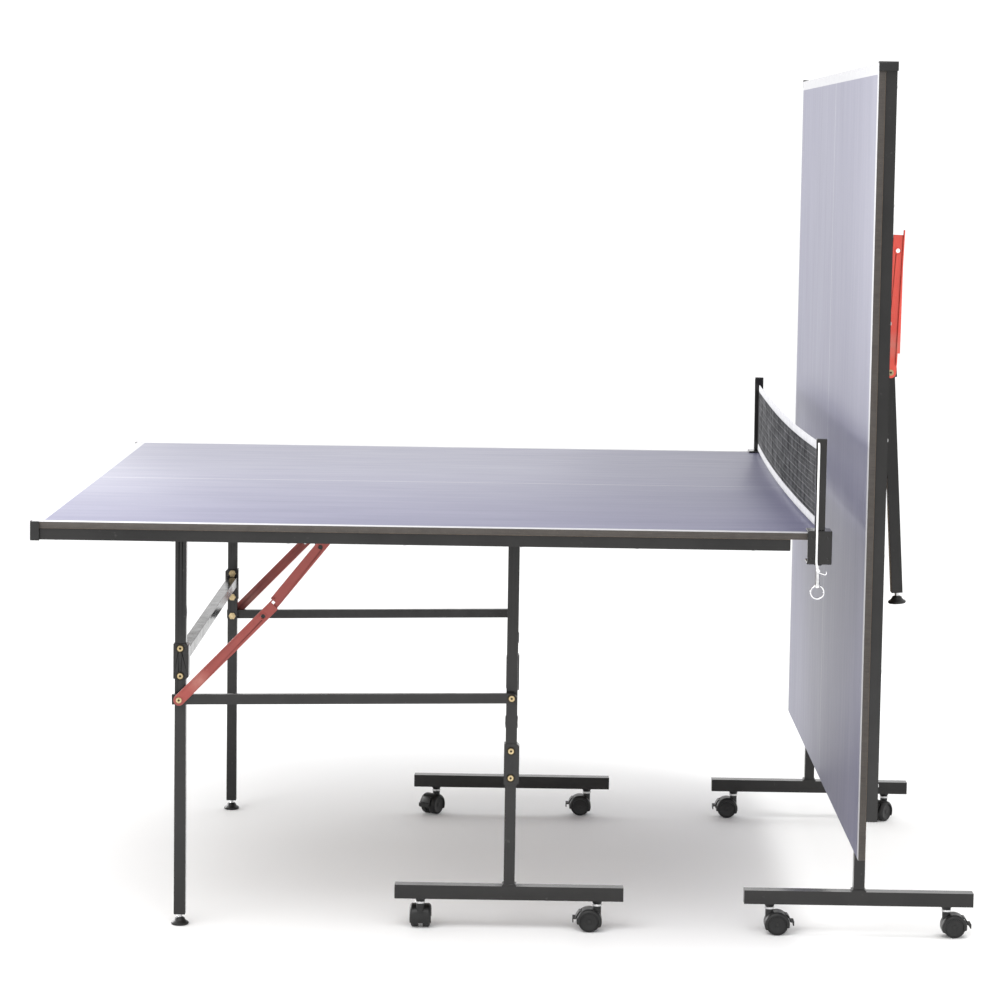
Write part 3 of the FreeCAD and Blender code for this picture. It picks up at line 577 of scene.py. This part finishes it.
# Rounding in metres, by the start of the node's name.
SOFT_EDGE = {
    "apron_frame": 0.0016, "corner_caps": 0.0026, "end_legs": 0.0018, "end_leg_tubes": 0.0018,
    "wheel_frame": 0.0018, "wheel_feet": 0.0020, "side_links": 0.0014, "brace_lower": 0.0007,
    "brace_upper": 0.0007, "net_clamp": 0.0012, "net_posts": 0.0018, "caster": 0.0005,
    "end_leg_bolts": 0.0008, "wheel_frame_bolts": 0.0008,
}
slot_of = {row["node"]: row["material_slot"] for row in frame["record"]["subparts"]}
for name, obj in nodes.items():
    mat = MATS[slot_of[name]]
    # Painted shade: the level half's braces get the darker copy of the red paint.
    if name.startswith("brace") and name.endswith("_a"):
        mat = RED_SHADED
    obj.data.materials.clear()
    obj.data.materials.append(mat)
    stems = [key for key in SOFT_EDGE if name.startswith(key)]
    if stems:
        soften(obj, SOFT_EDGE[max(stems, key=len)])

for half in "ab":
    add_board(half)

# ------------------------------------------------------------------ net
NET_X0 = -18.0
NET_HALF = 743.0
NET_LOW, NET_HIGH = 764.5, 913.0
NET_BOW, NET_SAG, NET_DROP = 10.5, 5.0, 7.0
TAPE_W = 15.0
SLEEVE_W = 12.0
STRING_ROWS, STRING_STEPS = 15, 120
MESH_PITCH = 8.2
STRING_R = 0.55
SEAM_STEPS = 240


def net_x(y):
    """The net bows away from the folded half between its posts."""
    return NET_X0 - NET_BOW * (1.0 - (y / NET_HALF) ** 2)


def net_top(y):
    """The top sags between the posts and drops towards the far one."""
    along = y / NET_HALF
    return NET_HIGH - NET_SAG * (1.0 - along ** 2) - NET_DROP * max(0.0, along) ** 3


def top_tape_low(y):
    return net_top(y) - TAPE_W


def band(mesh, low, high, half_t, y_from, y_to, steps, rough=0.0):
    """A folded cloth band along the net between two height functions."""
    y_from, y_to = sorted((y_from, y_to))
    verts, faces = [], []
    shape = [(-1.0, 0.12), (-1.0, 0.88), (-0.45, 1.0), (0.45, 1.0), (1.0, 0.88), (1.0, 0.12),
             (0.45, 0.0), (-0.45, 0.0)]
    for k in range(steps + 1):
        y = y_from + (y_to - y_from) * k / steps
        wobble = rough * random.uniform(-1.0, 1.0)
        for across, up in shape:
            z = low(y) + (high(y) - low(y)) * up
            verts.append((net_x(y) + across * half_t + wobble * (0.4 + 0.6 * up), y, z))
    n = len(shape)
    for k in range(steps):
        for i in range(n):
            j = (i + 1) % n
            faces.append((k * n + i, k * n + j, (k + 1) * n + j, (k + 1) * n + i))
    faces.append(tuple(reversed(range(n))))
    faces.append(tuple(range(steps * n, steps * n + n)))
    mesh.add(verts, faces)


def add_net():
    """Knotted strings, white tapes, dark end sleeves and the tapes' stitching."""
    place = half_matrix("a", "top")
    side = NET_HALF - SLEEVE_W
    strings = Mesh()
    z_low = NET_LOW + TAPE_W - 1.0

    def height(y, row):
        return z_low + (top_tape_low(y) + 1.0 - z_low) * row / STRING_ROWS

    for row in range(1, STRING_ROWS):
        points = []
        for k in range(STRING_STEPS + 1):
            y = -side + 2 * side * k / STRING_STEPS
            points.append((net_x(y) + random.uniform(-0.12, 0.12), y,
                           height(y, row) + random.uniform(-0.5, 0.5)))
        strings.pipe(points, STRING_R, 5)
    count = int(2 * side / MESH_PITCH)
    for k in range(1, count):
        y = -side + 2 * side * k / count
        points = []
        for row in range(STRING_ROWS + 1):
            lean = 0.0 if row in (0, STRING_ROWS) else random.uniform(-0.35, 0.35)
            points.append((net_x(y) + (0.35 if row % 2 else -0.35), y + lean, height(y, row)))
        strings.pipe(points, STRING_R, 5)
    net = strings.piece("net_strings", STRING, "net_mesh", "top_a", place)
    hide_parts("net_cloth")

    tapes, reach = Mesh(), side + 6
    band(tapes, top_tape_low, net_top, 0.95, -reach, reach, 60, 0.12)
    band(tapes, lambda y: NET_LOW, lambda y: NET_LOW + TAPE_W, 0.95, -reach, reach, 60, 0.12)
    tape = tapes.piece("net_tapes", TAPE, "net_mesh", "top_a", place)
    ends = Mesh()
    for way in (-1, 1):
        band(ends, lambda y: NET_LOW + 1.0, lambda y: net_top(y) - 1.0, 0.98,
             way * (side - 4), way * (NET_HALF + 0.6), 4)
    sleeve = ends.piece("net_end_sleeves", SLEEVE, "net_mesh", "top_a", place)
    seams = Mesh()
    for level in (lambda y: top_tape_low(y) + 2.2, lambda y: net_top(y) - 2.2,
                  lambda y: NET_LOW + 2.0, lambda y: NET_LOW + TAPE_W - 2.0):
        for face in (-1, 1):
            points = []
            for k in range(SEAM_STEPS + 1):
                y = -side + 2 * side * k / SEAM_STEPS
                points.append((net_x(y) + face * (0.92 if k % 2 else 0.70), y, level(y)))
            seams.pipe(points, 0.28, 4)
    seam = seams.piece("net_seams", SEAM, "net_mesh", "top_a", place)


# ------------------------------------------------------------------ cord and hook
POST_FACE = -762.9
CORD_R = 1.75
CORD_LINE = -770.2
CORD_X = NET_X0 - 5.5
# The cord's way out of the post and down towards its hook: (y, z), all at CORD_X.
CORD_ROUTE = ((POST_FACE, 914.0), (CORD_LINE, 914.0), (CORD_LINE, 893.0), (CORD_LINE, 800.0),
              (CORD_LINE, 722.0), (CORD_LINE, 706.0))
CORD_END = (CORD_X + 2.5, CORD_LINE + 0.5, 698.0)
# The hook wire past its elbow: (x, z) from the elbow.
HOOK_LINE = ((1.0, -0.9), (6.2, -2.6), (11.0, -4.1), (12.6, -4.0), (13.4, -2.4), (13.5, 0.6))


def add_cord():
    """Tension cord with a wound knot at its end, and the wire hook tied into the knot."""
    place = half_matrix("a", "top")
    route = [(CORD_X, y, z) for y, z in CORD_ROUTE] + [CORD_END]
    data = bpy.data.curves.new("tension_cord", "CURVE")
    data.dimensions = "3D"
    data.bevel_depth = CORD_R * MM
    data.bevel_resolution = 5
    data.resolution_u = 24
    data.use_fill_caps = True
    spline = data.splines.new("NURBS")
    spline.points.add(len(route) - 1)
    for point, at in zip(spline.points, route):
        point.co = (*(place @ Vector(at)), 1.0)
    spline.order_u = 3
    spline.use_endpoint_u = True
    data.materials.append(CORD)
    cord = bpy.data.objects.new("tension_cord", data)
    bpy.context.scene.collection.objects.link(cord)
    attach(cord, "top_a")
    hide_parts("net_cord")

    end = Vector(CORD_END)
    heading = (end - Vector(route[-2])).normalized()
    knot = Mesh()
    for k, size in enumerate((2.3, 2.6, 2.3)):
        centre = end + heading * (0.4 + 1.7 * k)
        loop = ring_points(20, lambda a: (size * math.cos(a), size * math.sin(a),
                                          0.35 * math.sin(a)))
        knot.pipe(loop, 0.95, 8, True, aim(centre, heading))
    knot.lathe([(0, -0.4), (1.9, -0.2), (1.9, 4.6), (0, 5.0)], aim(end, heading), 16)
    tie = knot.piece("cord_knot", CORD, "white_cord", "top_a", place)
    elbow = end + heading * 5.0
    line = [end + heading * 2.0, elbow - heading * 0.6]
    line += [elbow + Vector((x, 0, z)) for x, z in HOOK_LINE]
    wire = Mesh()
    wire.pipe(line, 1.1, 10)
    wire.lathe([(0, -1.05), (0.8, -0.7), (1.1, 0), (0.8, 0.7), (0, 1.05)],
               aim(line[-1], (0, 0, 1)), 12)
    hook = wire.piece("cord_hook_wire", WIRE, "chrome_wire", "top_a", place, ROUND_DEG)
    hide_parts("cord_hook")


# ------------------------------------------------------------------ clamp screws
SCREW_Y = 741.0
THREAD_R, THREAD_DEPTH, THREAD_PITCH, THREAD_STEPS = 3.95, 0.55, 1.25, 28


def threads(mesh, place, low, high):
    """Threaded rod: a helical ridge on a shank."""
    verts, faces = [], []
    rings = int((high - low) / THREAD_PITCH) * 2 + 1
    for i in range(rings):
        for k in range(THREAD_STEPS):
            a = 2 * math.pi * k / THREAD_STEPS
            phase = (i / 2.0 + k / THREAD_STEPS) % 1.0
            r = THREAD_R - THREAD_DEPTH * abs(2 * phase - 1.0)
            z = low + (high - low) * i / (rings - 1)
            verts.append((r * math.cos(a), r * math.sin(a), z))
    for i in range(rings - 1):
        here, above = i * THREAD_STEPS, (i + 1) * THREAD_STEPS
        for k in range(THREAD_STEPS):
            n = (k + 1) % THREAD_STEPS
            faces.append((here + k, here + n, above + n, above + k))
    faces.append(tuple(reversed(range(THREAD_STEPS))))
    faces.append(tuple(range((rings - 1) * THREAD_STEPS, rings * THREAD_STEPS)))
    mesh.add(verts, faces, place)


def add_clamp_screw(side, way):
    """Threaded rod with a collar, a ring handle and a pressure pad with its nut."""
    place = half_matrix("a", "top")
    at = Matrix.Translation((NET_X0, way * SCREW_Y, 0))
    body = "screw_" + side
    rod = Mesh()
    threads(rod, at, 667.0, 742.0)
    rod.lathe([(0, 661.6), (2.6, 661.8), (4.6, 663.0), (5.0, 664.0), (5.0, 668.6), (4.2, 669.8),
               (0, 670.0)], at, 28)
    rod.piece("clamp_rod_" + side, ZINC, "zinc_screw", body, place)
    ring = Mesh()
    loop = ring_points(56, lambda a: (11.5 * math.cos(a), 0.35 * math.sin(3 * a),
                                      11.5 * math.sin(a)))
    ring.pipe(loop, 1.45, 12, True, Matrix.Translation((NET_X0, way * SCREW_Y, 655.0)))
    grip = ring.piece("clamp_ring_" + side, WIRE, "chrome_wire", body, place, ROUND_DEG)
    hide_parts("clamp_screw_" + side)
    pad = Mesh()
    pad.lathe([(0, 741.9), (7.0, 742.0), (8.6, 742.4), (9.0, 743.2), (9.0, 746.2), (8.4, 747.3),
               (7.4, 747.65), (0, 747.6)], at, 36)
    pad.lathe([(4.2, 739.6), (6.0, 739.8), (6.4, 741.9), (4.2, 741.9), (4.2, 739.6)], at, 6)
    pad.piece("clamp_pad_" + side, PLASTIC, "black_plastic", body, place)


# ------------------------------------------------------------------ levelling feet
FOOT_RIBS = 12


def add_levelling_foot(half, side, way):
    """Ribbed foot pad and its threaded stud."""
    place = half_matrix(half, "legs") @ Matrix.Translation((END_LEG_X, way * LEG_Y, 0))
    body = "foot_%s_%s" % (half, side)
    foot = Mesh()
    foot.lathe([(0, 0.2), (12.6, 0.05), (14.4, 0.5), (15.6, 1.6), (16.0, 3.0), (15.8, 4.4),
                (14.6, 5.6), (12.4, 6.9), (10.4, 8.6), (8.8, 10.6), (7.8, 12.4), (7.0, 13.4),
                (6.4, 13.8), (0, 13.8)], None, 48)
    for k in range(FOOT_RIBS):
        turn = Matrix.Rotation(2 * math.pi * k / FOOT_RIBS, 4, "Z")
        foot.pipe([(3.6, 0, 7.0), (1.4, 0, 9.6), (0.2, 0, 12.6)], 0.55, 5, False,
                  turn @ Matrix.Translation((7.7, 0, 0)))
    plate = foot.piece("foot_pad_%s_%s" % (half, side), PLASTIC, "black_plastic", body, place)
    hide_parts("levelling_foot_%s_%s" % (half, side))
    stud = Mesh()
    threads(stud, None, 13.6, 52.0)
    stud.piece("foot_stud_%s_%s" % (half, side), ZINC, "zinc_bolts", body, place)


# ------------------------------------------------------------------ casters
WHEEL_R = 20.0
TRAIL = 14.0
STEM_X = 160.0
PEDAL_RIBS = 5
# Half, side, end and the direction in degrees in which each caster trails.
CASTERS = (
    ("a", "near", "left", 90.0), ("a", "near", "right", 180.0), ("a", "far", "left", -125.0),
    ("a", "far", "right", 180.0), ("b", "near", "left", 0.0), ("b", "near", "right", 0.0),
    ("b", "far", "left", 180.0), ("b", "far", "right", -130.0),
)
FRAME_X = {"a": NET_X + TROLLEY_X, "b": FRAME_B_X}
# Outlines (radius, distance) turned about the axle or the stem.
WHEEL = [(3.05, 4.2), (16.8, 4.2), (17.4, 4.0), (18.9, 4.05), (19.75, 4.6), (20.0, 5.6),
         (20.0, 12.9), (19.86, 14.2), (19.3, 15.5), (18.3, 16.6), (17.0, 17.2), (16.2, 17.38),
         (15.7, 17.3), (15.4, 16.5), (5.2, 16.1), (4.6, 17.0), (3.05, 17.0), (3.05, 4.2)]
HUB_CAP = [(0, 17.38), (2.8, 17.36), (4.2, 17.1), (4.4, 16.6), (14.2, 16.9), (15.0, 17.25),
           (15.35, 17.2), (15.38, 16.55), (15.0, 16.45), (0, 16.2)]
STEM_WASHER = [(7.40, 46.6), (8.3, 46.7), (8.7, 47.1), (8.7, 50.2), (8.3, 50.7), (7.40, 50.8),
               (7.40, 46.6)]
STEM_CUP = [(7.40, 51.6), (7.8, 51.7), (9.3, 54.6), (9.6, 56.3), (9.3, 56.9), (7.40, 56.9),
            (7.40, 51.6)]


def add_caster(half, side, end, heading):
    """Wheels with tread bands, hub caps, the stem's washer and cup, and the pedal's ribs."""
    name = "%s_%s_%s" % (half, side, end)
    y = LEG_Y if side == "far" else -LEG_Y
    x = FRAME_X[half] + (-STEM_X if end == "left" else STEM_X)
    place = (Matrix.Scale(MM, 4) @ Matrix.Translation((x, y, 0))
             @ Matrix.Rotation(math.radians(heading), 4, "Z"))
    wheels, caps, ring, cup, ribs = (Mesh() for _ in range(5))
    for way in (-1, 1):
        axle = aim((TRAIL, 0, WHEEL_R), (0, way, 0))
        wheels.lathe(WHEEL, axle, 64)
        caps.lathe(HUB_CAP, axle, 48)
    tread = wheels.piece("wheels_visual_" + name, TREAD, "wheel_tread", "wheels_" + name, place)
    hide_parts("caster_%s_wheels" % name)
    caps.piece("hub_caps_" + name, PLASTIC, "black_plastic", "wheels_" + name, place)
    ring.lathe(STEM_WASHER, None, 36)
    ring.piece("stem_washer_" + name, ZINC, "zinc_bolts", "swivel_" + name, place)
    cup.lathe(STEM_CUP, None, 36)
    cup.piece("stem_cup_" + name, PLASTIC, "black_plastic", "swivel_" + name, place)
    for k in range(PEDAL_RIBS):
        along = -8.0 + 4.0 * k
        ribs.block((TRAIL + 25.2, along - 0.7, WHEEL_R + 5.8),
                   (TRAIL + 30.0, along + 0.7, WHEEL_R + 6.6), 0.3)
    ribs.piece("pedal_ribs_" + name, PLASTIC, "black_plastic", "brake_" + name, place)


# ------------------------------------------------------------------ fixings and trim
BEAD_R, BEAD_STEP = 1.3, 2.6
SCREW_HEAD_R, SCREW_HEAD_H = 3.6, 1.9
TUBE_UNDERSIDE, TUBE_MID_Z, RAIL_Y, RAIL_INNER_Y = 728.0, 738.2, 748.5, 738.2
RAIL_SCREWS_X = [-1330.0 + 200.0 * k for k in range(7)]
CROSS_SCREWS_Y = (-620.0, -310.0, 0.0, 310.0, 620.0)
LEGS_INNER_Y, LEGS_BAR_Z = 507.2, 490.0
TROLLEY_INNER_Y, TROLLEY_BAR_Z, FOOT_BAR_TOP = 509.7, 380.0, 85.2
SHIM_FACES = (546.16, 546.44)
# Each bolt head: pivot or hole (x, z), the head's face from the centre plane, the depth of
# its socket, and whether it sits on a washer.
BOLTS = {
    "frame": [(P_T, 533.6, 3.0, False), (Q_T, 546.4, 3.0, True),
              ((TROLLEY_X, 281.0), 532.6, 2.6, True), ((TROLLEY_X, 330.0), 532.6, 2.6, True)],
    "legs": [(P_E, 533.6, 3.0, False), (Q_E, 553.3, 2.2, False),
             ((END_LEG_X, 457.4), 532.6, 2.6, True), ((END_LEG_X, 507.5), 532.6, 2.6, True)],
}


def bead_loop(mesh, corners):
    """A lumpy weld bead round a closed loop of corner points."""
    points = []
    for a, b in zip(corners, corners[1:] + corners[:1]):
        a, b = Vector(a), Vector(b)
        count = max(2, int((b - a).length / BEAD_STEP))
        points += [a.lerp(b, k / count) for k in range(count)]
    sizes = [BEAD_R * random.uniform(0.75, 1.15) for _ in points]
    mesh.pipe(points, lambda i: sizes[i], 7, True)


def rect(axis, at, half, centre):
    """Corners of a square about centre, where axis = at; half is half its width."""
    a, b = centre
    ring = [(a - half, b - half), (a + half, b - half), (a + half, b + half), (a - half, b + half)]
    return [(p, at, q) if axis == "y" else (p, q, at) for p, q in ring]


def add_welds(name, half, body, squares):
    """Weld beads of one body; each square is what rect takes."""
    beads = Mesh()
    for square in squares:
        bead_loop(beads, rect(*square))
    beads.piece("%s_welds_%s" % (name, half), STEEL, "black_steel", "%s_%s" % (body, half),
                half_matrix(half, body))


def pan_head(mesh, at):
    """Downward pan-head screw with a shallow sunk centre."""
    r, h = SCREW_HEAD_R, SCREW_HEAD_H
    mesh.lathe([(0, h * 0.62), (r * 0.22, h * 0.62), (r * 0.34, h), (r * 0.62, h * 0.94),
                (r * 0.9, h * 0.6), (r, 0.2), (r, -0.3), (0, -0.3)], aim(at, (0, 0, -1)), 24)


def add_bolt_trim(half, body, rows):
    """Painted shade as dark hexagon discs in the bolt heads' sockets, and dark zinc washers on the
    bolt heads of one body.
    """
    socket_shade, rings = Mesh(), Mesh()
    for (x, z), face, depth, washer in rows:
        for way in (-1, 1):
            seat = aim((x, way * (face + depth - 1.75), z), (0, way, 0))
            # Painted shade: a dark hexagon disc down in the socket.
            socket_shade.lathe([(0, 0.35), (2.12, 0.35), (2.12, 0.0), (0, 0.0)], seat, 24, hexagon)
            if washer:
                rings.lathe([(5.2, -0.05), (7.4, 0.0), (7.8, 0.35), (7.4, 0.75), (5.25, 0.8),
                             (5.2, -0.05)], aim((x, way * (face - 0.1), z), (0, way, 0)), 36)
    for kind, mesh in (("bolt_socket_shade", socket_shade), ("bolt_washers", rings)):
        mesh.piece("%s_%s_%s" % (kind, body, half), SOCKET_SHADE_AND_DARK_ZINC, "zinc_bolts",
                   "%s_%s" % (body, half), half_matrix(half, body))


def add_fixings(half):
    """Screws under the board, weld beads, link shims, tube plugs, bolt trim, knee eyelets."""
    top = half_matrix(half, "top")
    screws = Mesh()
    for way in (-1, 1):
        for x in RAIL_SCREWS_X:
            pan_head(screws, (x, way * RAIL_Y, TUBE_UNDERSIDE))
    for x in CROSS_TUBES_X:
        for y in CROSS_SCREWS_Y:
            pan_head(screws, (x, y, TUBE_UNDERSIDE))
    screws.piece("board_screws_" + half, ZINC, "zinc_bolts", "top_" + half, top)

    add_welds("apron", half, "top", [("y", way * RAIL_INNER_Y, 9.6, (x, TUBE_MID_Z))
                                     for x in CROSS_TUBES_X for way in (-1, 1)])
    add_welds("end_leg", half, "legs", [("y", way * LEGS_INNER_Y, 10.2, (END_LEG_X, LEGS_BAR_Z))
                                        for way in (-1, 1)])
    joins = []
    for way in (-1, 1):
        joins.append(("y", way * TROLLEY_INNER_Y, 10.2, (TROLLEY_X, TROLLEY_BAR_Z)))
        joins.append(("z", FOOT_BAR_TOP, 10.4, (TROLLEY_X, way * LEG_Y)))
    add_welds("wheel_frame", half, "frame", joins)

    shims = Mesh()
    for way in (-1, 1):
        low, high = sorted(way * y for y in SHIM_FACES)
        shims.block((Q_E[0] - 11.8, low, Q_E[1] - 8.8), (Q_E[0] + 9.0, high, Q_E[1] + 8.8), 0.1)
    shims.piece("link_end_shims_" + half, STEEL, "black_steel", "legs_" + half,
                half_matrix(half, "legs"))

    plugs = Mesh()
    for way in (-1, 1):
        plugs.block((-69.4, way * RAIL_Y - 9.4, 728.6), (-67.3, way * RAIL_Y + 9.4, 747.4), 0.7)
    plugs.piece("apron_plugs_" + half, PLASTIC, "black_plastic", "top_" + half, top)

    for body, rows in BOLTS.items():
        add_bolt_trim(half, body, rows)

    eyelets = Mesh()
    for way in (-1, 1):
        place = aim((KNEE[0], 0, KNEE[1]), (0, way, 0))
        eyelets.lathe([(4.05, 552.2), (6.2, 552.9), (6.6, 553.25), (6.1, 553.7), (4.9, 553.8),
                       (4.05, 553.2), (4.05, 552.2)], place, 32)
    # Painted shade: the level half's knee eyelets get the darker copy of the red paint.
    paint = RED_SHADED if half == "a" else RED
    eyelets.piece("knee_eyelets_" + half, paint, "red_steel", "brace_low_" + half,
                  half_matrix(half, "brace_low"))


def add_clamp_trim():
    """Rivet heads on the clamp plates."""
    rivets = Mesh()
    for way in (-1, 1):
        for x, z in ((-32.0, 752.0), (-4.0, 752.0), (-32.0, 715.0), (-4.0, 715.0)):
            rivets.lathe([(0, 1.3), (1.6, 1.15), (2.6, 0.5), (2.8, 0.0), (0, -0.2)],
                         aim((x, way * 767.0, z), (0, way, 0)), 24)
    rivets.piece("clamp_rivets", STEEL, "black_steel", "top_a", half_matrix("a", "top"))


add_net()
add_cord()
for side, way in (("near", -1), ("far", 1)):
    add_clamp_screw(side, way)
    for half in "ab":
        add_levelling_foot(half, side, way)
for row in CASTERS:
    add_caster(*row)
for half in "ab":
    add_fixings(half)
add_clamp_trim()


# ------------------------------------------------------------------ stage and light
def add_stage():
    """Pale floor, far wider than the picture."""
    bpy.ops.mesh.primitive_plane_add(size=400.0, location=(0, 0, 0))
    floor = bpy.context.object
    floor.name = "floor"
    s = Shader("pale_floor")
    s.color(s.grey(s.noise(0.9, 4.0), 0.3, 0.7, 0.92, 0.95))
    rough_between(s, 3.0, 0.62, 0.74)
    s.bump(s.noise(120.0, 3.0), 0.05, 0.001)
    s.set("Specular IOR Level", 0.3)
    floor.data.materials.append(s.mat)
    return floor


def add_light(name, size, power, at, aim_at, pieces=(), state="INCLUDE"):
    """Soft panel; with pieces it lights only those, or all but those when state is EXCLUDE."""
    data = bpy.data.lights.new(name, "AREA")
    data.shape = "RECTANGLE"
    data.size, data.size_y = size
    data.energy = power
    obj = bpy.data.objects.new(name, data)
    bpy.context.scene.collection.objects.link(obj)
    obj.location = at
    obj.rotation_euler = (Vector(aim_at) - Vector(at)).to_track_quat("-Z", "Y").to_euler()
    if pieces:
        group = bpy.data.collections.new(name + "_pieces")
        obj.light_linking.receiver_collection = group
        for piece in pieces:
            group.objects.link(piece)
        for row in group.collection_objects:
            row.light_linking.link_state = state


floor = add_stage()
studio = bpy.data.worlds.new("studio")
bpy.context.scene.world = studio
studio.use_nodes = True
studio.node_tree.nodes["Background"].inputs["Color"].default_value = (1, 1, 1, 1)
studio.node_tree.nodes["Background"].inputs["Strength"].default_value = 1.20
board_a = bpy.data.objects["board_a"]
folded_braces = [obj for name, obj in nodes.items()
                 if name.startswith("brace") and name.endswith("_b")]
folded_braces.append(bpy.data.objects["knee_eyelets_b"])
add_light("key", (4.0, 4.0), 150.0, (-1.5, -3.0, 4.6), (0, 0, 0.4))
add_light("back_left", (2.6, 2.2), 230.0, (-3.6, 2.8, 1.7), (-0.4, 0.1, 0.8),
          [floor, board_a], "EXCLUDE")
add_light("sheen_wide", (4.4, 1.8), 15.0, (-1.9, 5.0, 1.9), (-0.8, 0, 0.8), [board_a])
add_light("sheen_narrow", (3.0, 1.8), 23.0, (-2.9, 5.0, 1.9), (-1.2, 0, 0.8), [board_a])
add_light("left_end", (1.6, 1.2), 62.0, (-1.7, -1.0, 2.2), (-0.9, -0.5, 0.76), [board_a])
add_light("front_low", (3.0, 1.5), 34.0, (-0.2, -3.6, 1.6), (0, -0.6, 0), [floor])
add_light("right_floor", (0.8, 0.8), 24.0, (1.9, -0.4, 3.0), (1.3, 0, 0), [floor])
add_light("brace_fill", (1.4, 1.4), 30.0, (1.9, -3.0, 1.9), (0.2, -0.5, 1.0), folded_braces)
bpy.context.scene.view_settings.view_transform = "Standard"
